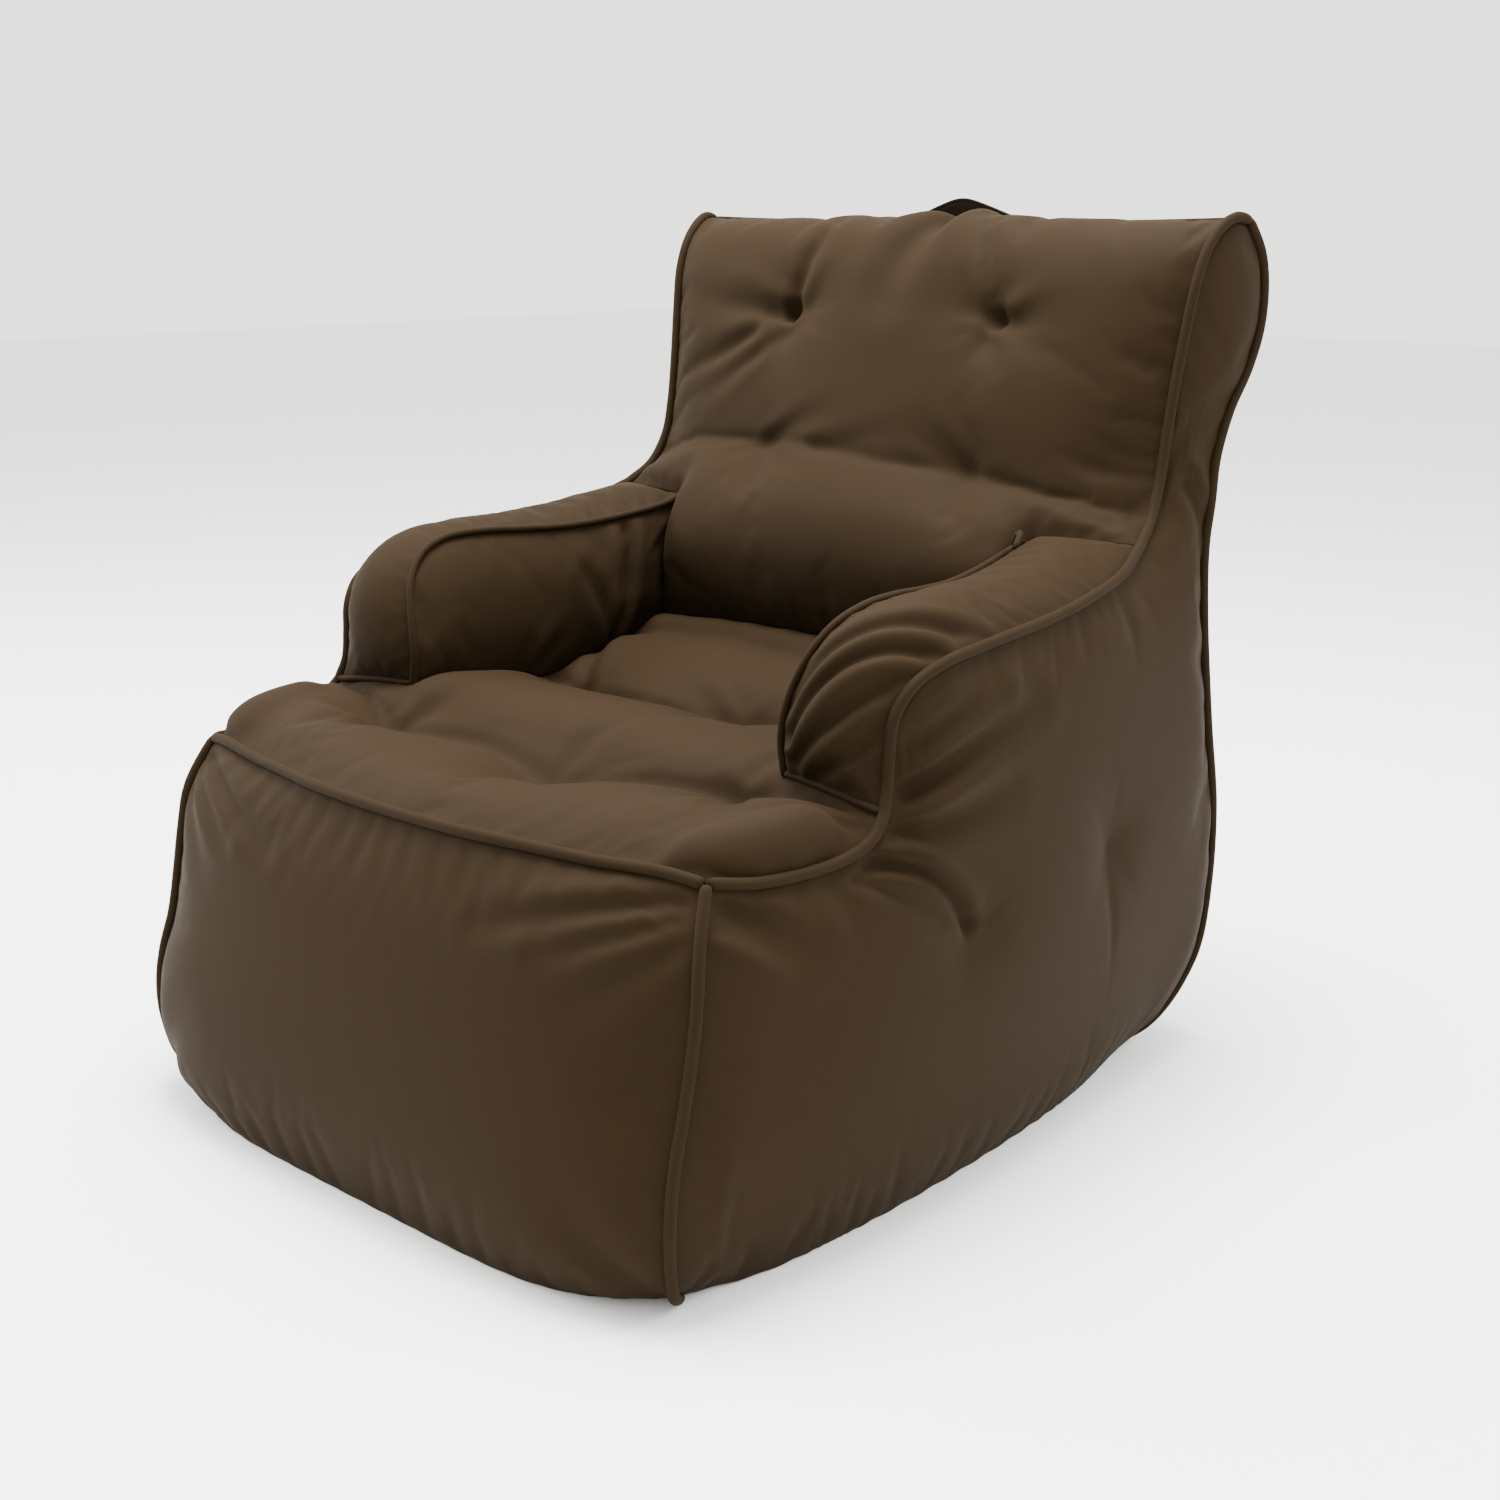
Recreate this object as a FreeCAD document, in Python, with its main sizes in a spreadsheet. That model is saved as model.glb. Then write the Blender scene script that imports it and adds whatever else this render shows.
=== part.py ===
import FreeCAD, Part
import math
import os

from FreeCAD import Placement, Rotation, Vector

# Bean bag armchair: a sewn fabric cover over four bead-filled inner bags.
# Millimetres. X runs across the chair, the sitter faces -Y, Z is up and the floor is z = 0.
# "left" and "right" are seen by someone who stands in front of the chair: right is +X.

os.makedirs("parts", exist_ok=True)
doc = FreeCAD.newDocument("bean_bag_chair")

# ------------------------------------------------------------------ driving dimensions

sheet = doc.addObject("Spreadsheet::Sheet", "Sizes")
DIMENSIONS = {
    "cloth": 2.0,               # thickness of a quilted cover panel
    "liner_cloth": 1.2,         # thickness of an inner bag
    "liner_inset": 6.0,         # outside of an inner bag, below the cover's outside
    "fill_inset": 8.0,          # outside of the beads, below the cover's outside
    "tuft_room": 5.0,           # the seat and backrest bags lie this much deeper, clear of the tufts
    "side_reach": 350.0,        # the distance from the middle at which side_shift is full
    "seam_trim": 3.0,           # a panel's edge stops this far from its seam line
    "welt_radius": 5.0,         # the thick piping round the cover
    "piping_radius": 3.5,       # the thin piping on the arms
    "arm_inner": 258.0,         # inner face of an arm, from the middle
    "arm_outer": 384.0,
    "chair_top": 880.0,
    "tie_radius": 1.5,          # cords that pull the tufts in
    "tie_toggle_radius": 9.0,
    "tie_toggle_height": 2.0,
    "strap_thickness": 2.4,     # carry handle
    "strap_width": 31.0,
    "strap_half_span": 104.0,
    "strap_rise": 71.9,
    "strap_fall": 38.5,         # how far the strap's top edge falls from its middle to its ends
    "strap_lean": 12.9,
    "strap_pivot_back": 439.5,
    "strap_pivot_up": 808.5,
    "patch_width": 34.0,
    "patch_height": 40.0,
    "patch_thickness": 1.6,
    "zip_level": 115.0,         # height of the zip's centre line
    "zip_back": 420.0,          # outside of the back panel behind the zip
    "zip_half_length": 278.0,
    "tape_width": 15.5,
    "tape_thickness": 1.2,
    "tape_gap": 13.0,           # between the two tapes' inner edges
    "chain_width": 6.0,
    "chain_thickness": 3.0,
    "stop_length": 4.0,
    "slider_length": 14.0,
    "slider_rest": 268.0,
    "pull_length": 28.0,
    "pull_width": 5.4,
    "pull_thickness": 1.4,
    "pull_pin_radius": 0.8,
}
for row, (alias, value) in enumerate(DIMENSIONS.items(), start=1):
    sheet.set(f"A{row}", alias)
    sheet.set(f"B{row}", str(value))
    sheet.setAlias(f"B{row}", alias)
doc.recompute()

cloth = sheet.cloth
side_reach = sheet.side_reach
made = []

# ------------------------------------------------------------------ the chair's outlines
# Each point is (y, z, side_shift): the outline in the middle plane of the chair, and how far
# that point has moved in y at side_reach from the middle. The shift grows as a 2.2 power.

FRONT = [(-420, 2, 50), (-446, 24, 44), (-451, 70, 42), (-441, 170, 46), (-420, 270, 48), (-394, 356, 50)]
SEAT = [(-394, 356, 50), (-330, 358, 40), (-262, 347, 20), (-203, 334, 10), (-140, 347, 0),
        (-60, 350, 0), (30, 330, 0), (90, 348, 0), (160, 368, 0), (212, 415, 0)]
BACKREST = [(212, 415, 0), (197, 470, 20), (212, 545, 48), (249, 605, 50), (283, 680, 35),
            (314, 750, 16), (338, 812, 6), (372, 852, -2), (416, 848, -8)]
REAR = [(416, 848, -8), (432, 815, 12), (436, 780, 10), (432, 710, -8), (415, 640, -32),
        (400, 560, -36), (405, 470, -38), (416, 360, -28), (420, 250, -6), (420, 200, 0),
        (420, 160, 0), (420, 120, 0), (420, 85, 0), (417, 55, 0), (406, 28, 0), (385, 10, 0), (352, 2, 0)]
ARM = [(-150, 374), (-160, 410), (-157, 450), (-140, 495), (-100, 530), (-40, 543), (40, 540),
       (120, 532), (180, 536), (214, 545)]
ARM_BACK = [(214, 545), (206, 515), (192, 480), (186, 440), (182, 400), (170, 374)]
ARM_CROWN = 14.0                # the arm is this much lower along its two edges than along its middle
# The plan outline of the chair's side, as (y, x).
SIDE = [(-470, 330), (-411, 352), (-341, 367), (-279, 380), (-188, 388), (-75, 391), (66, 387),
        (192, 374), (306, 363), (390, 361), (470, 361)]


def side_shift(x):
    """The share of a point's side_shift that applies at distance x from the middle plane."""
    return (abs(x) / side_reach) ** 2.2


def outline_at(points, x):
    """An outline's points in space, at a distance x from the middle plane."""
    return [Vector(x, y + shift * side_shift(x), z) for y, z, shift in points]


def arm_at(points, x):
    """The arm outline's points in space: lower along the two edges, highest along the middle."""
    middle = (sheet.arm_inner + sheet.arm_outer) / 2
    half = (sheet.arm_outer - sheet.arm_inner) / 2
    drop = ARM_CROWN * ((abs(x) - middle) / half) ** 2
    low, high = 374.0, 545.0
    return [Vector(x, y, z - drop * (z - low) / (high - low)) for y, z in points]


def spline(points):
    """A smooth curve through the points."""
    curve = Part.BSplineCurve()
    curve.interpolate(points)
    return curve


def side_at(y):
    """How far the chair's side stands from the middle plane, at y."""
    for (y0, x0), (y1, x1) in zip(SIDE, SIDE[1:]):
        if y0 <= y <= y1:
            return x0 + (x1 - x0) * (y - y0) / (y1 - y0)
    return SIDE[-1][1]


# ------------------------------------------------------------------ ways to make a solid

def keep(obj, label):
    """Notes a finished sub-part under the name that its file gets."""
    obj.Label = label
    made.append(obj)
    return obj


def feature(label, shape):
    """A sub-part whose shape is made with Part's own functions."""
    obj = doc.addObject("Part::Feature", label)
    obj.Shape = shape
    return keep(obj, label)


def ruled_edges(first, second):
    """A closed wire of two curves and the straight lines that join their ends."""
    ends = [Part.makeLine(first.EndPoint, second.EndPoint),
            Part.makeLine(second.StartPoint, first.StartPoint)]
    return Part.Wire([first.toShape(), ends[0], second.toShape(), ends[1]])


def strip_section(points, thickness, trim):
    """The cross-section of a panel: the curve through the points, and its copy on the inner side."""
    curve = spline(points)
    count = 3 * len(points)
    first, last = trim, curve.length() - trim
    across = Vector(1, 0, 0)
    outside, inside = [], []
    for step in range(count + 1):
        at = curve.parameterAtDistance(first + (last - first) * step / count)
        point, along = curve.value(at), curve.tangent(at)[0]
        outside.append(point)
        inside.append(point + along.cross(across).normalize() * thickness)
    return ruled_edges(spline(outside), spline(inside))


def strip(make_points, stations, thickness=cloth, trim=None):
    """A panel lofted through its cross-sections at the stations across the chair."""
    trim = sheet.seam_trim if trim is None else trim
    sections = [strip_section(make_points(x), thickness, trim) for x in stations]
    return Part.makeLoft(sections, True)


def inset_points(points, inset):
    """A closed outline's points moved inwards along the bisector of their two sides."""
    moved = []
    for index, point in enumerate(points):
        before = (point - points[index - 1]).normalize()
        after = (points[(index + 1) % len(points)] - point).normalize()
        along = (before + after).normalize()
        inward = along.cross(Vector(1, 0, 0))
        moved.append(point + inward * (inset / max(0.6, before.dot(along))))
    return moved


def bag(make_points, stations, inset):
    """A rounded closed solid inside a closed outline, lofted across the chair."""
    sections = []
    for x in stations:
        curve = Part.BSplineCurve()
        curve.buildFromPoles(inset_points(make_points(x), inset), True, 3)
        sections.append(Part.Wire([curve.toShape()]))
    return Part.makeLoft(sections, True)


def plan_prism(inset, bottom=-20.0, reach=500.0):
    """Everything between the chair's two sides, each moved inwards by inset."""
    right = spline([Vector(x - inset, y, bottom) for y, x in SIDE])
    left = spline([Vector(inset - x, y, bottom) for y, x in SIDE])
    face = Part.Face(ruled_edges(left, right))
    return face.extrude(Vector(0, 0, sheet.chair_top - bottom + reach))


def rounded_path(points):
    """Straight runs joined by tangent arcs, each as large as its two runs allow."""
    edges, at = [], points[0]
    for before, corner, after in zip(points, points[1:], points[2:]):
        back, ahead = (before - corner), (after - corner)
        half_turn = (math.pi - back.getAngle(ahead)) / 2
        if half_turn < 0.01:
            continue
        cut = 0.45 * min(back.Length, ahead.Length)
        radius = cut / math.tan(half_turn)
        start, end = corner + back.normalize() * cut, corner + ahead.normalize() * cut
        inward = (back + ahead).normalize()
        middle = corner + inward * (radius / math.cos(half_turn) - radius)
        edges += [Part.LineSegment(at, start).toShape(), Part.Arc(start, middle, end).toShape()]
        at = end
    edges.append(Part.LineSegment(at, points[-1]).toShape())
    return Part.Wire(edges)


def tube(points, radius):
    """Piping: a round cord swept along a rounded path."""
    path = rounded_path(points)
    along = points[1] - points[0]
    ring = Part.Wire([Part.makeCircle(radius, points[0], along)])
    solid = path.makePipeShell([ring], True, False)
    assert abs(solid.Volume / (math.pi * radius ** 2 * path.Length) - 1) < 0.02
    return solid


def mirrored(points, side):
    """The points of the right side, or their mirror image on the left."""
    return [Vector(point.x * side, point.y, point.z) for point in points]


def without(shape, tools):
    """The shape with every tool cut from it."""
    return shape.cut(tools) if tools else shape


def origin_plane(body, role):
    """One of a body's own origin planes."""
    return next(item for item in body.Origin.OriginFeatures if item.Role == role)


def sketch_on(body, role, curves, offset=None):
    """A sketch of the given curves on a body's own plane, at an optional offset expression."""
    sketch = body.newObject("Sketcher::SketchObject", "Sketch")
    sketch.AttachmentSupport = [(origin_plane(body, role), "")]
    sketch.MapMode = "FlatFace"
    for curve in curves:
        sketch.addGeometry(curve, False)
    if offset:
        sketch.setExpression("AttachmentOffset.Base.z", offset)
    return sketch


def polygon(points):
    """Line segments that close the polygon through flat points."""
    flat = [Vector(a, b, 0) for a, b in points]
    return [Part.LineSegment(a, b) for a, b in zip(flat, flat[1:] + flat[:1])]


def pad(body, sketch, length, midplane=False):
    """A pad of the sketch whose length is an expression."""
    block = body.newObject("PartDesign::Pad", "Pad")
    block.Profile = sketch
    block.Midplane = midplane
    block.setExpression("Length", length)
    return block


def box(label, sizes, corner):
    """A plain block: three size expressions and three expressions for its lowest corner."""
    block = doc.addObject("Part::Box", label)
    for name, value in zip(("Length", "Width", "Height"), sizes):
        block.setExpression(name, value)
    for name, value in zip(("x", "y", "z"), corner):
        block.setExpression(f"Placement.Base.{name}", value)
    return block


# ------------------------------------------------------------------ cords that pull the tufts in

def tie(start, end):
    """A cord with a flat toggle at each end."""
    along = end - start
    height = sheet.tie_toggle_height
    cord = Part.makeCylinder(sheet.tie_radius, along.Length, start, along)
    near = Part.makeCylinder(sheet.tie_toggle_radius, height, start, along)
    far = Part.makeCylinder(sheet.tie_toggle_radius, height, end - along.normalize() * height, along)
    return cord.fuse([near, far])


def passage(start, end):
    """The clear round hole that a cord needs through a bag."""
    along = end - start
    return Part.makeCylinder(sheet.tie_radius + 0.5, along.Length, start, along)


TIE_DEPTH = 10.0                # the cloth dips towards a toggle that lies this far under it
BAG_CLEAR = 6.5                 # and the bag's surface dents to this depth around the toggle
FLOOR_CLEAR = 4.5               # height of the seat cords' lower ends
SEAT_ROWS = [(-203, 334, (-230, 0, 230)), (30, 330, (-220, 0, 220))]    # y, z and x of each row
BACK_ROWS = [(140, 750, 320.0, 433.5), (135, 605, 260.0, 401.0), (140, 455, 208.0, 401.0)]
SIDE_ROWS = [(-75, 262), (169, 270)]
seat_runs = [(Vector(x, y, FLOOR_CLEAR), Vector(x, y, level - TIE_DEPTH))
             for y, level, columns in SEAT_ROWS for x in columns]
back_runs = [(Vector(side * x, near + TIE_DEPTH, level), Vector(side * x, far - TIE_DEPTH, level))
             for x, level, near, far in BACK_ROWS for side in (-1, 1)]
side_runs = [(Vector(TIE_DEPTH - side_at(y), y, level), Vector(side_at(y) - TIE_DEPTH, y, level))
             for y, level in SIDE_ROWS]
tie_groups = {"seat_tuft_ties": seat_runs, "backrest_tuft_ties": back_runs, "side_tuft_ties": side_runs}
for label, runs in tie_groups.items():
    feature(label, Part.makeCompound([tie(start, end) for start, end in runs]))


def passages(label):
    """All the round holes for one group of cords, with a wide dent at each end."""
    holes, past, wide = [], 20, sheet.tie_toggle_radius + 1
    for start, end in tie_groups[label]:
        along = (end - start).normalize()
        holes.append(passage(start - along * past, end + along * past))
        for corner, way in ((start, along), (end, along * -1)):
            holes.append(Part.makeCylinder(wide, past + BAG_CLEAR, corner - way * past, way))
    return holes


# ------------------------------------------------------------------ inner bags and their beads

DIVIDER = [(285, 388, -6), (350, 362, -12)]        # where the seat and backrest bags meet
FLOOR_LINE = [(y, 2, -0.11 * y if y < 0 else 0) for y in range(290, -400, -60)]
SEAT_ROOM = FRONT + SEAT[1:] + DIVIDER + [(414, 340, -26)] + REAR[8:] + FLOOR_LINE
BACK_ROOM = BACKREST + REAR[1:8] + DIVIDER[::-1]
CORE_STATIONS = (-410, -290, -150, 0, 150, 290, 410)
ARM_STATIONS = (258, 285, 321, 357, 384)


def core_bag(room, inset, tie_labels):
    """An inner bag's solid in the seat or the backrest, cut back to the chair's sides."""
    solid = bag(lambda x: outline_at(room, x), CORE_STATIONS, inset + sheet.tuft_room)
    solid = solid.common(plan_prism(inset))
    return without(solid, [hole for label in tie_labels for hole in passages(label)])


def arm_bag(side, inset):
    """An inner bag's solid in one arm."""
    stations = [side * (x + inset - 2 * inset * (x - 258) / 126) for x in ARM_STATIONS]
    room = ARM + ARM_BACK[1:]
    return bag(lambda x: arm_at(room, x), stations, inset).common(plan_prism(inset + 4))


rooms = {
    "seat": lambda inset: core_bag(SEAT_ROOM, inset, ("seat_tuft_ties", "side_tuft_ties")),
    "backrest": lambda inset: core_bag(BACK_ROOM, inset, ("backrest_tuft_ties",)),
    "left_arm": lambda inset: arm_bag(-1, inset),
    "right_arm": lambda inset: arm_bag(1, inset),
}
for name, make_room in rooms.items():
    outside = make_room(sheet.liner_inset)
    inside = make_room(sheet.liner_inset + sheet.liner_cloth)
    feature(f"{name}_liner", outside.cut(inside))
    feature(f"{name}_bead_fill", make_room(sheet.fill_inset))

# ------------------------------------------------------------------ cover panels

between_sides = plan_prism(cloth + 0.4)
arm_notch = sheet.arm_inner - 2


def panel(label, points, tools=()):
    """A cover panel that spans the chair from side to side."""
    solid = strip(lambda x: outline_at(points, x), CORE_STATIONS).common(between_sides)
    feature(label, without(solid, list(tools)))


def arm_block(side, low, high):
    """The space that an arm takes from a panel."""
    reach = 200
    start = low[0] if side > 0 else -low[0] - reach
    return Part.makeBox(reach, high[1] - low[1], high[2] - low[2], Vector(start, low[1], low[2]))


arm_spaces = [arm_block(side, (arm_notch, -163, 300), (0, 300, 420)) for side in (-1, 1)]
arm_ends = [arm_block(side, (arm_notch, 150, 405), (0, 262, 549)) for side in (-1, 1)]
panel("front_panel", FRONT)
panel("seat_panel", SEAT, arm_spaces)
panel("backrest_panel", BACKREST, arm_ends)
panel("back_panel", REAR)

base_right = spline([Vector(x - 30, y, 0) for y, x in SIDE[1:-1]])
base_left = spline([Vector(30 - x, y, 0) for y, x in SIDE[1:-1]])
base_slab = Part.Face(ruled_edges(base_left, base_right)).extrude(Vector(0, 0, cloth))
base_reach = Part.makeBox(1000, 352 + 366, 10, Vector(-500, -366, -4))
feature("base_panel", base_slab.common(base_reach))

for side, word in ((-1, "left"), (1, "right")):
    band = strip(lambda x: arm_at(ARM, x), [side * x for x in (262, 290, 321, 352, 380)])
    feature(f"{word}_arm_band", band.common(between_sides))

    flat = [Vector(point.y, point.z, 0) for point in arm_at(ARM, 270)]
    flat_back = [Vector(point.y, point.z, 0) for point in arm_at(ARM_BACK, 270)]
    body = doc.addObject("PartDesign::Body", f"{word}_arm_inner_panel")
    foot = Part.LineSegment(flat_back[-1], flat[0])
    inner = sketch_on(body, "YZ_Plane", [spline(flat), spline(flat_back), foot],
                      "Sizes.arm_inner" if side > 0 else "-Sizes.arm_inner - Sizes.cloth")
    pad(body, inner, "Sizes.cloth")
    keep(body, f"{word}_arm_inner_panel")


def side_zone(side):
    """The side panel's outline as a thick block: seat, backrest and arm seen from the side."""
    from_middle, thick = 300, 120
    whole = FRONT + SEAT[1:] + BACKREST[1:] + REAR[1:]
    core = [(point.y, point.z) for point in outline_at(whole, 360)]
    arm = [(point.y, point.z) for point in arm_at(ARM, 376) if point.z > 380]
    blocks = []
    for outline in (core, [(-150, 330)] + arm + [(300, 545), (300, 330)]):
        points = [Vector(from_middle * side, y, z) for y, z in outline]
        wire = Part.makePolygon(points + points[:1])
        blocks.append(Part.Face(wire).extrude(Vector(thick * side, 0, 0)))
    return blocks[0].fuse(blocks[1])


for side, word in ((-1, "left"), (1, "right")):
    skin = plan_prism(0).cut(plan_prism(cloth))
    feature(f"{word}_side_panel", skin.common(side_zone(side)))

# ------------------------------------------------------------------ piping in the seams

WELT_LIFT = 1.5                 # a welt's centre stands this far outside the corner of two panels


def on_side(points):
    """Side-view points (y, z) placed on the right side of the chair."""
    return [Vector(side_at(y) - 4.0, y, z) for y, z in points]


WELT_ARM = [(-348, 354), (-290, 356), (-230, 352), (-185, 358), (-163, 385), (-164, 430),
            (-150, 485), (-108, 518), (-40, 531), (40, 528), (120, 520), (196, 528), (250, 545)]
WELT_BACK = [(284, 582), (308, 640), (326, 710), (338, 770), (350, 820), (378, 853), (405, 858)]
REAR_WELT = [(405, 858), (430, 847), (445, 812), (446, 770), (430, 712), (398, 672), (376, 635),
             (366, 590), (363, 535), (370, 455), (389, 355), (414, 262), (423, 190), (423, 120),
             (421, 70), (404, 30), (372, 7)]
CORNER = [(-348, 354), (-360, 320), (-374, 270), (-385, 220), (-398, 165), (-410, 105),
          (-412, 65), (-403, 28), (-380, 8)]
ARM_EDGE = [(-156, 386), (-163, 430), (-153, 480), (-118, 522), (-50, 545), (40, 543), (120, 535),
            (180, 538), (206, 543)]
ARM_FOOT = [(264, 373), (300, 370), (340, 369), (374, 369)]             # as (x, z)
for side, word in ((-1, "left"), (1, "right")):
    feature(f"{word}_main_welt", tube(mirrored(on_side(WELT_ARM + WELT_BACK), side), sheet.welt_radius))
    feature(f"{word}_rear_welt", tube(mirrored(on_side(REAR_WELT), side), sheet.welt_radius))
    feature(f"{word}_corner_piping", tube(mirrored(on_side(CORNER), side), sheet.welt_radius))
    arm_edge = [Vector(259, point.y, point.z) for point in arm_at(ARM_EDGE, 262)]
    feature(f"{word}_arm_inner_piping", tube(mirrored(arm_edge, side), sheet.piping_radius))
    front_edge = [Vector(x, -155, z) for x, z in ARM_FOOT]
    feature(f"{word}_arm_front_piping", tube(mirrored(front_edge, side), sheet.piping_radius))

FRONT_COLUMNS = (-330, -280, -230, -170, -100, -35, 35, 100, 170, 230, 280, 330)
TOP_COLUMNS = (-350, -290, -210, -130, -50, 50, 130, 210, 290, 350)
front_line = [Vector(x, -394 - WELT_LIFT + 50 * side_shift(x), 357) for x in FRONT_COLUMNS]
front_line = [Vector(-359, -348, 356)] + front_line + [Vector(359, -348, 356)]
feature("front_welt", tube(front_line, sheet.welt_radius))
top_line = [Vector(x, 417 - 8 * side_shift(x), 850) for x in TOP_COLUMNS]
feature("top_welt", tube(top_line, sheet.piping_radius))

# ------------------------------------------------------------------ carry handle


def strap_outline():
    """The strap from behind: an arch whose top edge falls to both ends, cut level at the pivot."""
    reach, rise, fall = sheet.strap_half_span, sheet.strap_rise, sheet.strap_fall
    slope = fall / reach
    drop = sheet.strap_width * math.sqrt(1 + slope ** 2)
    crest = 12.0                # half the width of the rounded middle
    edge = rise - slope * crest
    peak = rise - slope * crest * 0.5
    foot = rise - fall
    top = Part.Arc(Vector(-crest, edge, 0), Vector(0, peak, 0), Vector(crest, edge, 0))
    under = Part.Arc(Vector(crest, edge - drop, 0), Vector(0, peak - drop, 0),
                     Vector(-crest, edge - drop, 0))
    right = polygon([(crest, edge), (reach, foot), (reach, foot - drop), (crest, edge - drop)])
    left = polygon([(-crest, edge - drop), (-reach, foot - drop), (-reach, foot), (-crest, edge)])
    return [top] + right[:3] + [under] + left[:3]


strap = doc.addObject("PartDesign::Body", "carry_handle")
pad(strap, sketch_on(strap, "XZ_Plane", strap_outline()), "Sizes.strap_thickness", midplane=True)
strap.setExpression("Placement.Base.y", "Sizes.strap_pivot_back")
strap.setExpression("Placement.Base.z", "Sizes.strap_pivot_up")
strap.Placement.Rotation = Rotation(Vector(1, 0, 0), sheet.strap_lean)
keep(strap, "carry_handle")

patches = doc.addObject("Part::Compound", "handle_patches")
patches.Links = [
    box(f"patch_{word}", ("Sizes.patch_width", "Sizes.patch_thickness", "Sizes.patch_height"),
        (f"{side} * (Sizes.strap_half_span - 5) - Sizes.patch_width / 2", "Sizes.strap_pivot_back - 1.9",
         "Sizes.strap_pivot_up - Sizes.patch_height - 2"))
    for side, word in ((-1, "left"), (1, "right"))]
keep(patches, "handle_patches")

# ------------------------------------------------------------------ zip along the bottom of the back

TAPE_LIFT = 0.6                 # the tapes lie this far off the back panel
CHAIN_LIFT = 3.0
for sign, word in ((1, "upper"), (-1, "lower")):
    inner_edge = "Sizes.tape_gap / 2" if sign > 0 else "-Sizes.tape_gap / 2 - Sizes.tape_width"
    whole_length = "2 * (Sizes.zip_half_length + Sizes.stop_length)"
    tape = box(f"zip_tape_{word}", (whole_length, "Sizes.tape_thickness", "Sizes.tape_width"),
               ("-Sizes.zip_half_length - Sizes.stop_length", f"Sizes.zip_back + {TAPE_LIFT}",
                f"Sizes.zip_level + ({inner_edge})"))
    keep(tape, f"zip_tape_{word}")
chain = box("zip_chain", ("2 * Sizes.zip_half_length", "Sizes.chain_thickness", "Sizes.chain_width"),
            ("-Sizes.zip_half_length", f"Sizes.zip_back + {CHAIN_LIFT}",
             "Sizes.zip_level - Sizes.chain_width / 2"))
keep(chain, "zip_chain")
stops = doc.addObject("Part::Compound", "zip_end_stops")
stop_thick = f"Sizes.chain_thickness + {CHAIN_LIFT - TAPE_LIFT}"
stop_starts = {"left": "-Sizes.zip_half_length - Sizes.stop_length", "right": "Sizes.zip_half_length"}
stops.Links = [
    box(f"stop_{word}", ("Sizes.stop_length", stop_thick, "Sizes.tape_gap"),
        (start, f"Sizes.zip_back + {TAPE_LIFT}", "Sizes.zip_level - Sizes.tape_gap / 2"))
    for word, start in stop_starts.items()]
keep(stops, "zip_end_stops")

# The slider is a sleeve round the chain with two lugs and a pin for the pull.
SLEEVE = (-5.5, 5.5, 1.2, 7.8)          # across and outwards, from the zip's level and the back panel
CHANNEL = (-3.5, 3.5, 2.6, 6.4)
LOWER_LUG = (-4.8, -3.0, 7.5, 11.6)
UPPER_LUG = (3.0, 4.8, 7.5, 11.6)
PIN_OUT = 10.2


def slider_section(low, high, inner, outer):
    """A rectangle across the zip, as (y, z) points."""
    near, far = sheet.zip_back + inner, sheet.zip_back + outer
    bottom, top = sheet.zip_level + low, sheet.zip_level + high
    return [(near, bottom), (far, bottom), (far, top), (near, top)]


slider = doc.addObject("PartDesign::Body", "zip_slider")
sleeve_lines = polygon(slider_section(*SLEEVE)) + polygon(slider_section(*CHANNEL))
sleeve_sketch = sketch_on(slider, "YZ_Plane", sleeve_lines,
                          "Sizes.slider_rest - Sizes.slider_length / 2")
pad(slider, sleeve_sketch, "Sizes.slider_length")
lug_lines = polygon(slider_section(*LOWER_LUG)) + polygon(slider_section(*UPPER_LUG))
lug_sketch = sketch_on(slider, "YZ_Plane", lug_lines, "Sizes.slider_rest")
pad(slider, lug_sketch, "Sizes.slider_length / 4", midplane=True)
pin_centre = Vector(sheet.slider_rest, sheet.zip_back + PIN_OUT, 0)
pin_sketch = sketch_on(slider, "XY_Plane",
                       [Part.Circle(pin_centre, Vector(0, 0, 1), sheet.pull_pin_radius)],
                       "Sizes.zip_level")
pad(slider, pin_sketch, "8", midplane=True)
keep(slider, "zip_slider")

EYE_RADIUS = 2.0
PIN_CLEARANCE = 0.2


def pull_outline():
    """The pull from above: a round eye on the pin, and a thin tongue with a rounded end."""
    x0, y0 = sheet.slider_rest, sheet.zip_back + PIN_OUT
    half = sheet.pull_thickness / 2
    root = math.sqrt(EYE_RADIUS ** 2 - half ** 2)
    tip = x0 + sheet.pull_length
    eye = Part.Arc(Vector(x0 + root, y0 + half, 0), Vector(x0 - EYE_RADIUS, y0, 0),
                   Vector(x0 + root, y0 - half, 0))
    end = Part.Arc(Vector(tip, y0 - half, 0), Vector(tip + half, y0, 0), Vector(tip, y0 + half, 0))
    hole = Part.Circle(Vector(x0, y0, 0), Vector(0, 0, 1), sheet.pull_pin_radius + PIN_CLEARANCE)
    near = Part.LineSegment(Vector(x0 + root, y0 - half, 0), Vector(tip, y0 - half, 0))
    far = Part.LineSegment(Vector(tip, y0 + half, 0), Vector(x0 + root, y0 + half, 0))
    return [eye, near, end, far, hole]


pull = doc.addObject("PartDesign::Body", "zip_pull")
pull_sketch = sketch_on(pull, "XY_Plane", pull_outline(), "Sizes.zip_level")
pad(pull, pull_sketch, "Sizes.pull_width", midplane=True)
keep(pull, "zip_pull")

# ------------------------------------------------------------------ check and write

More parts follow.
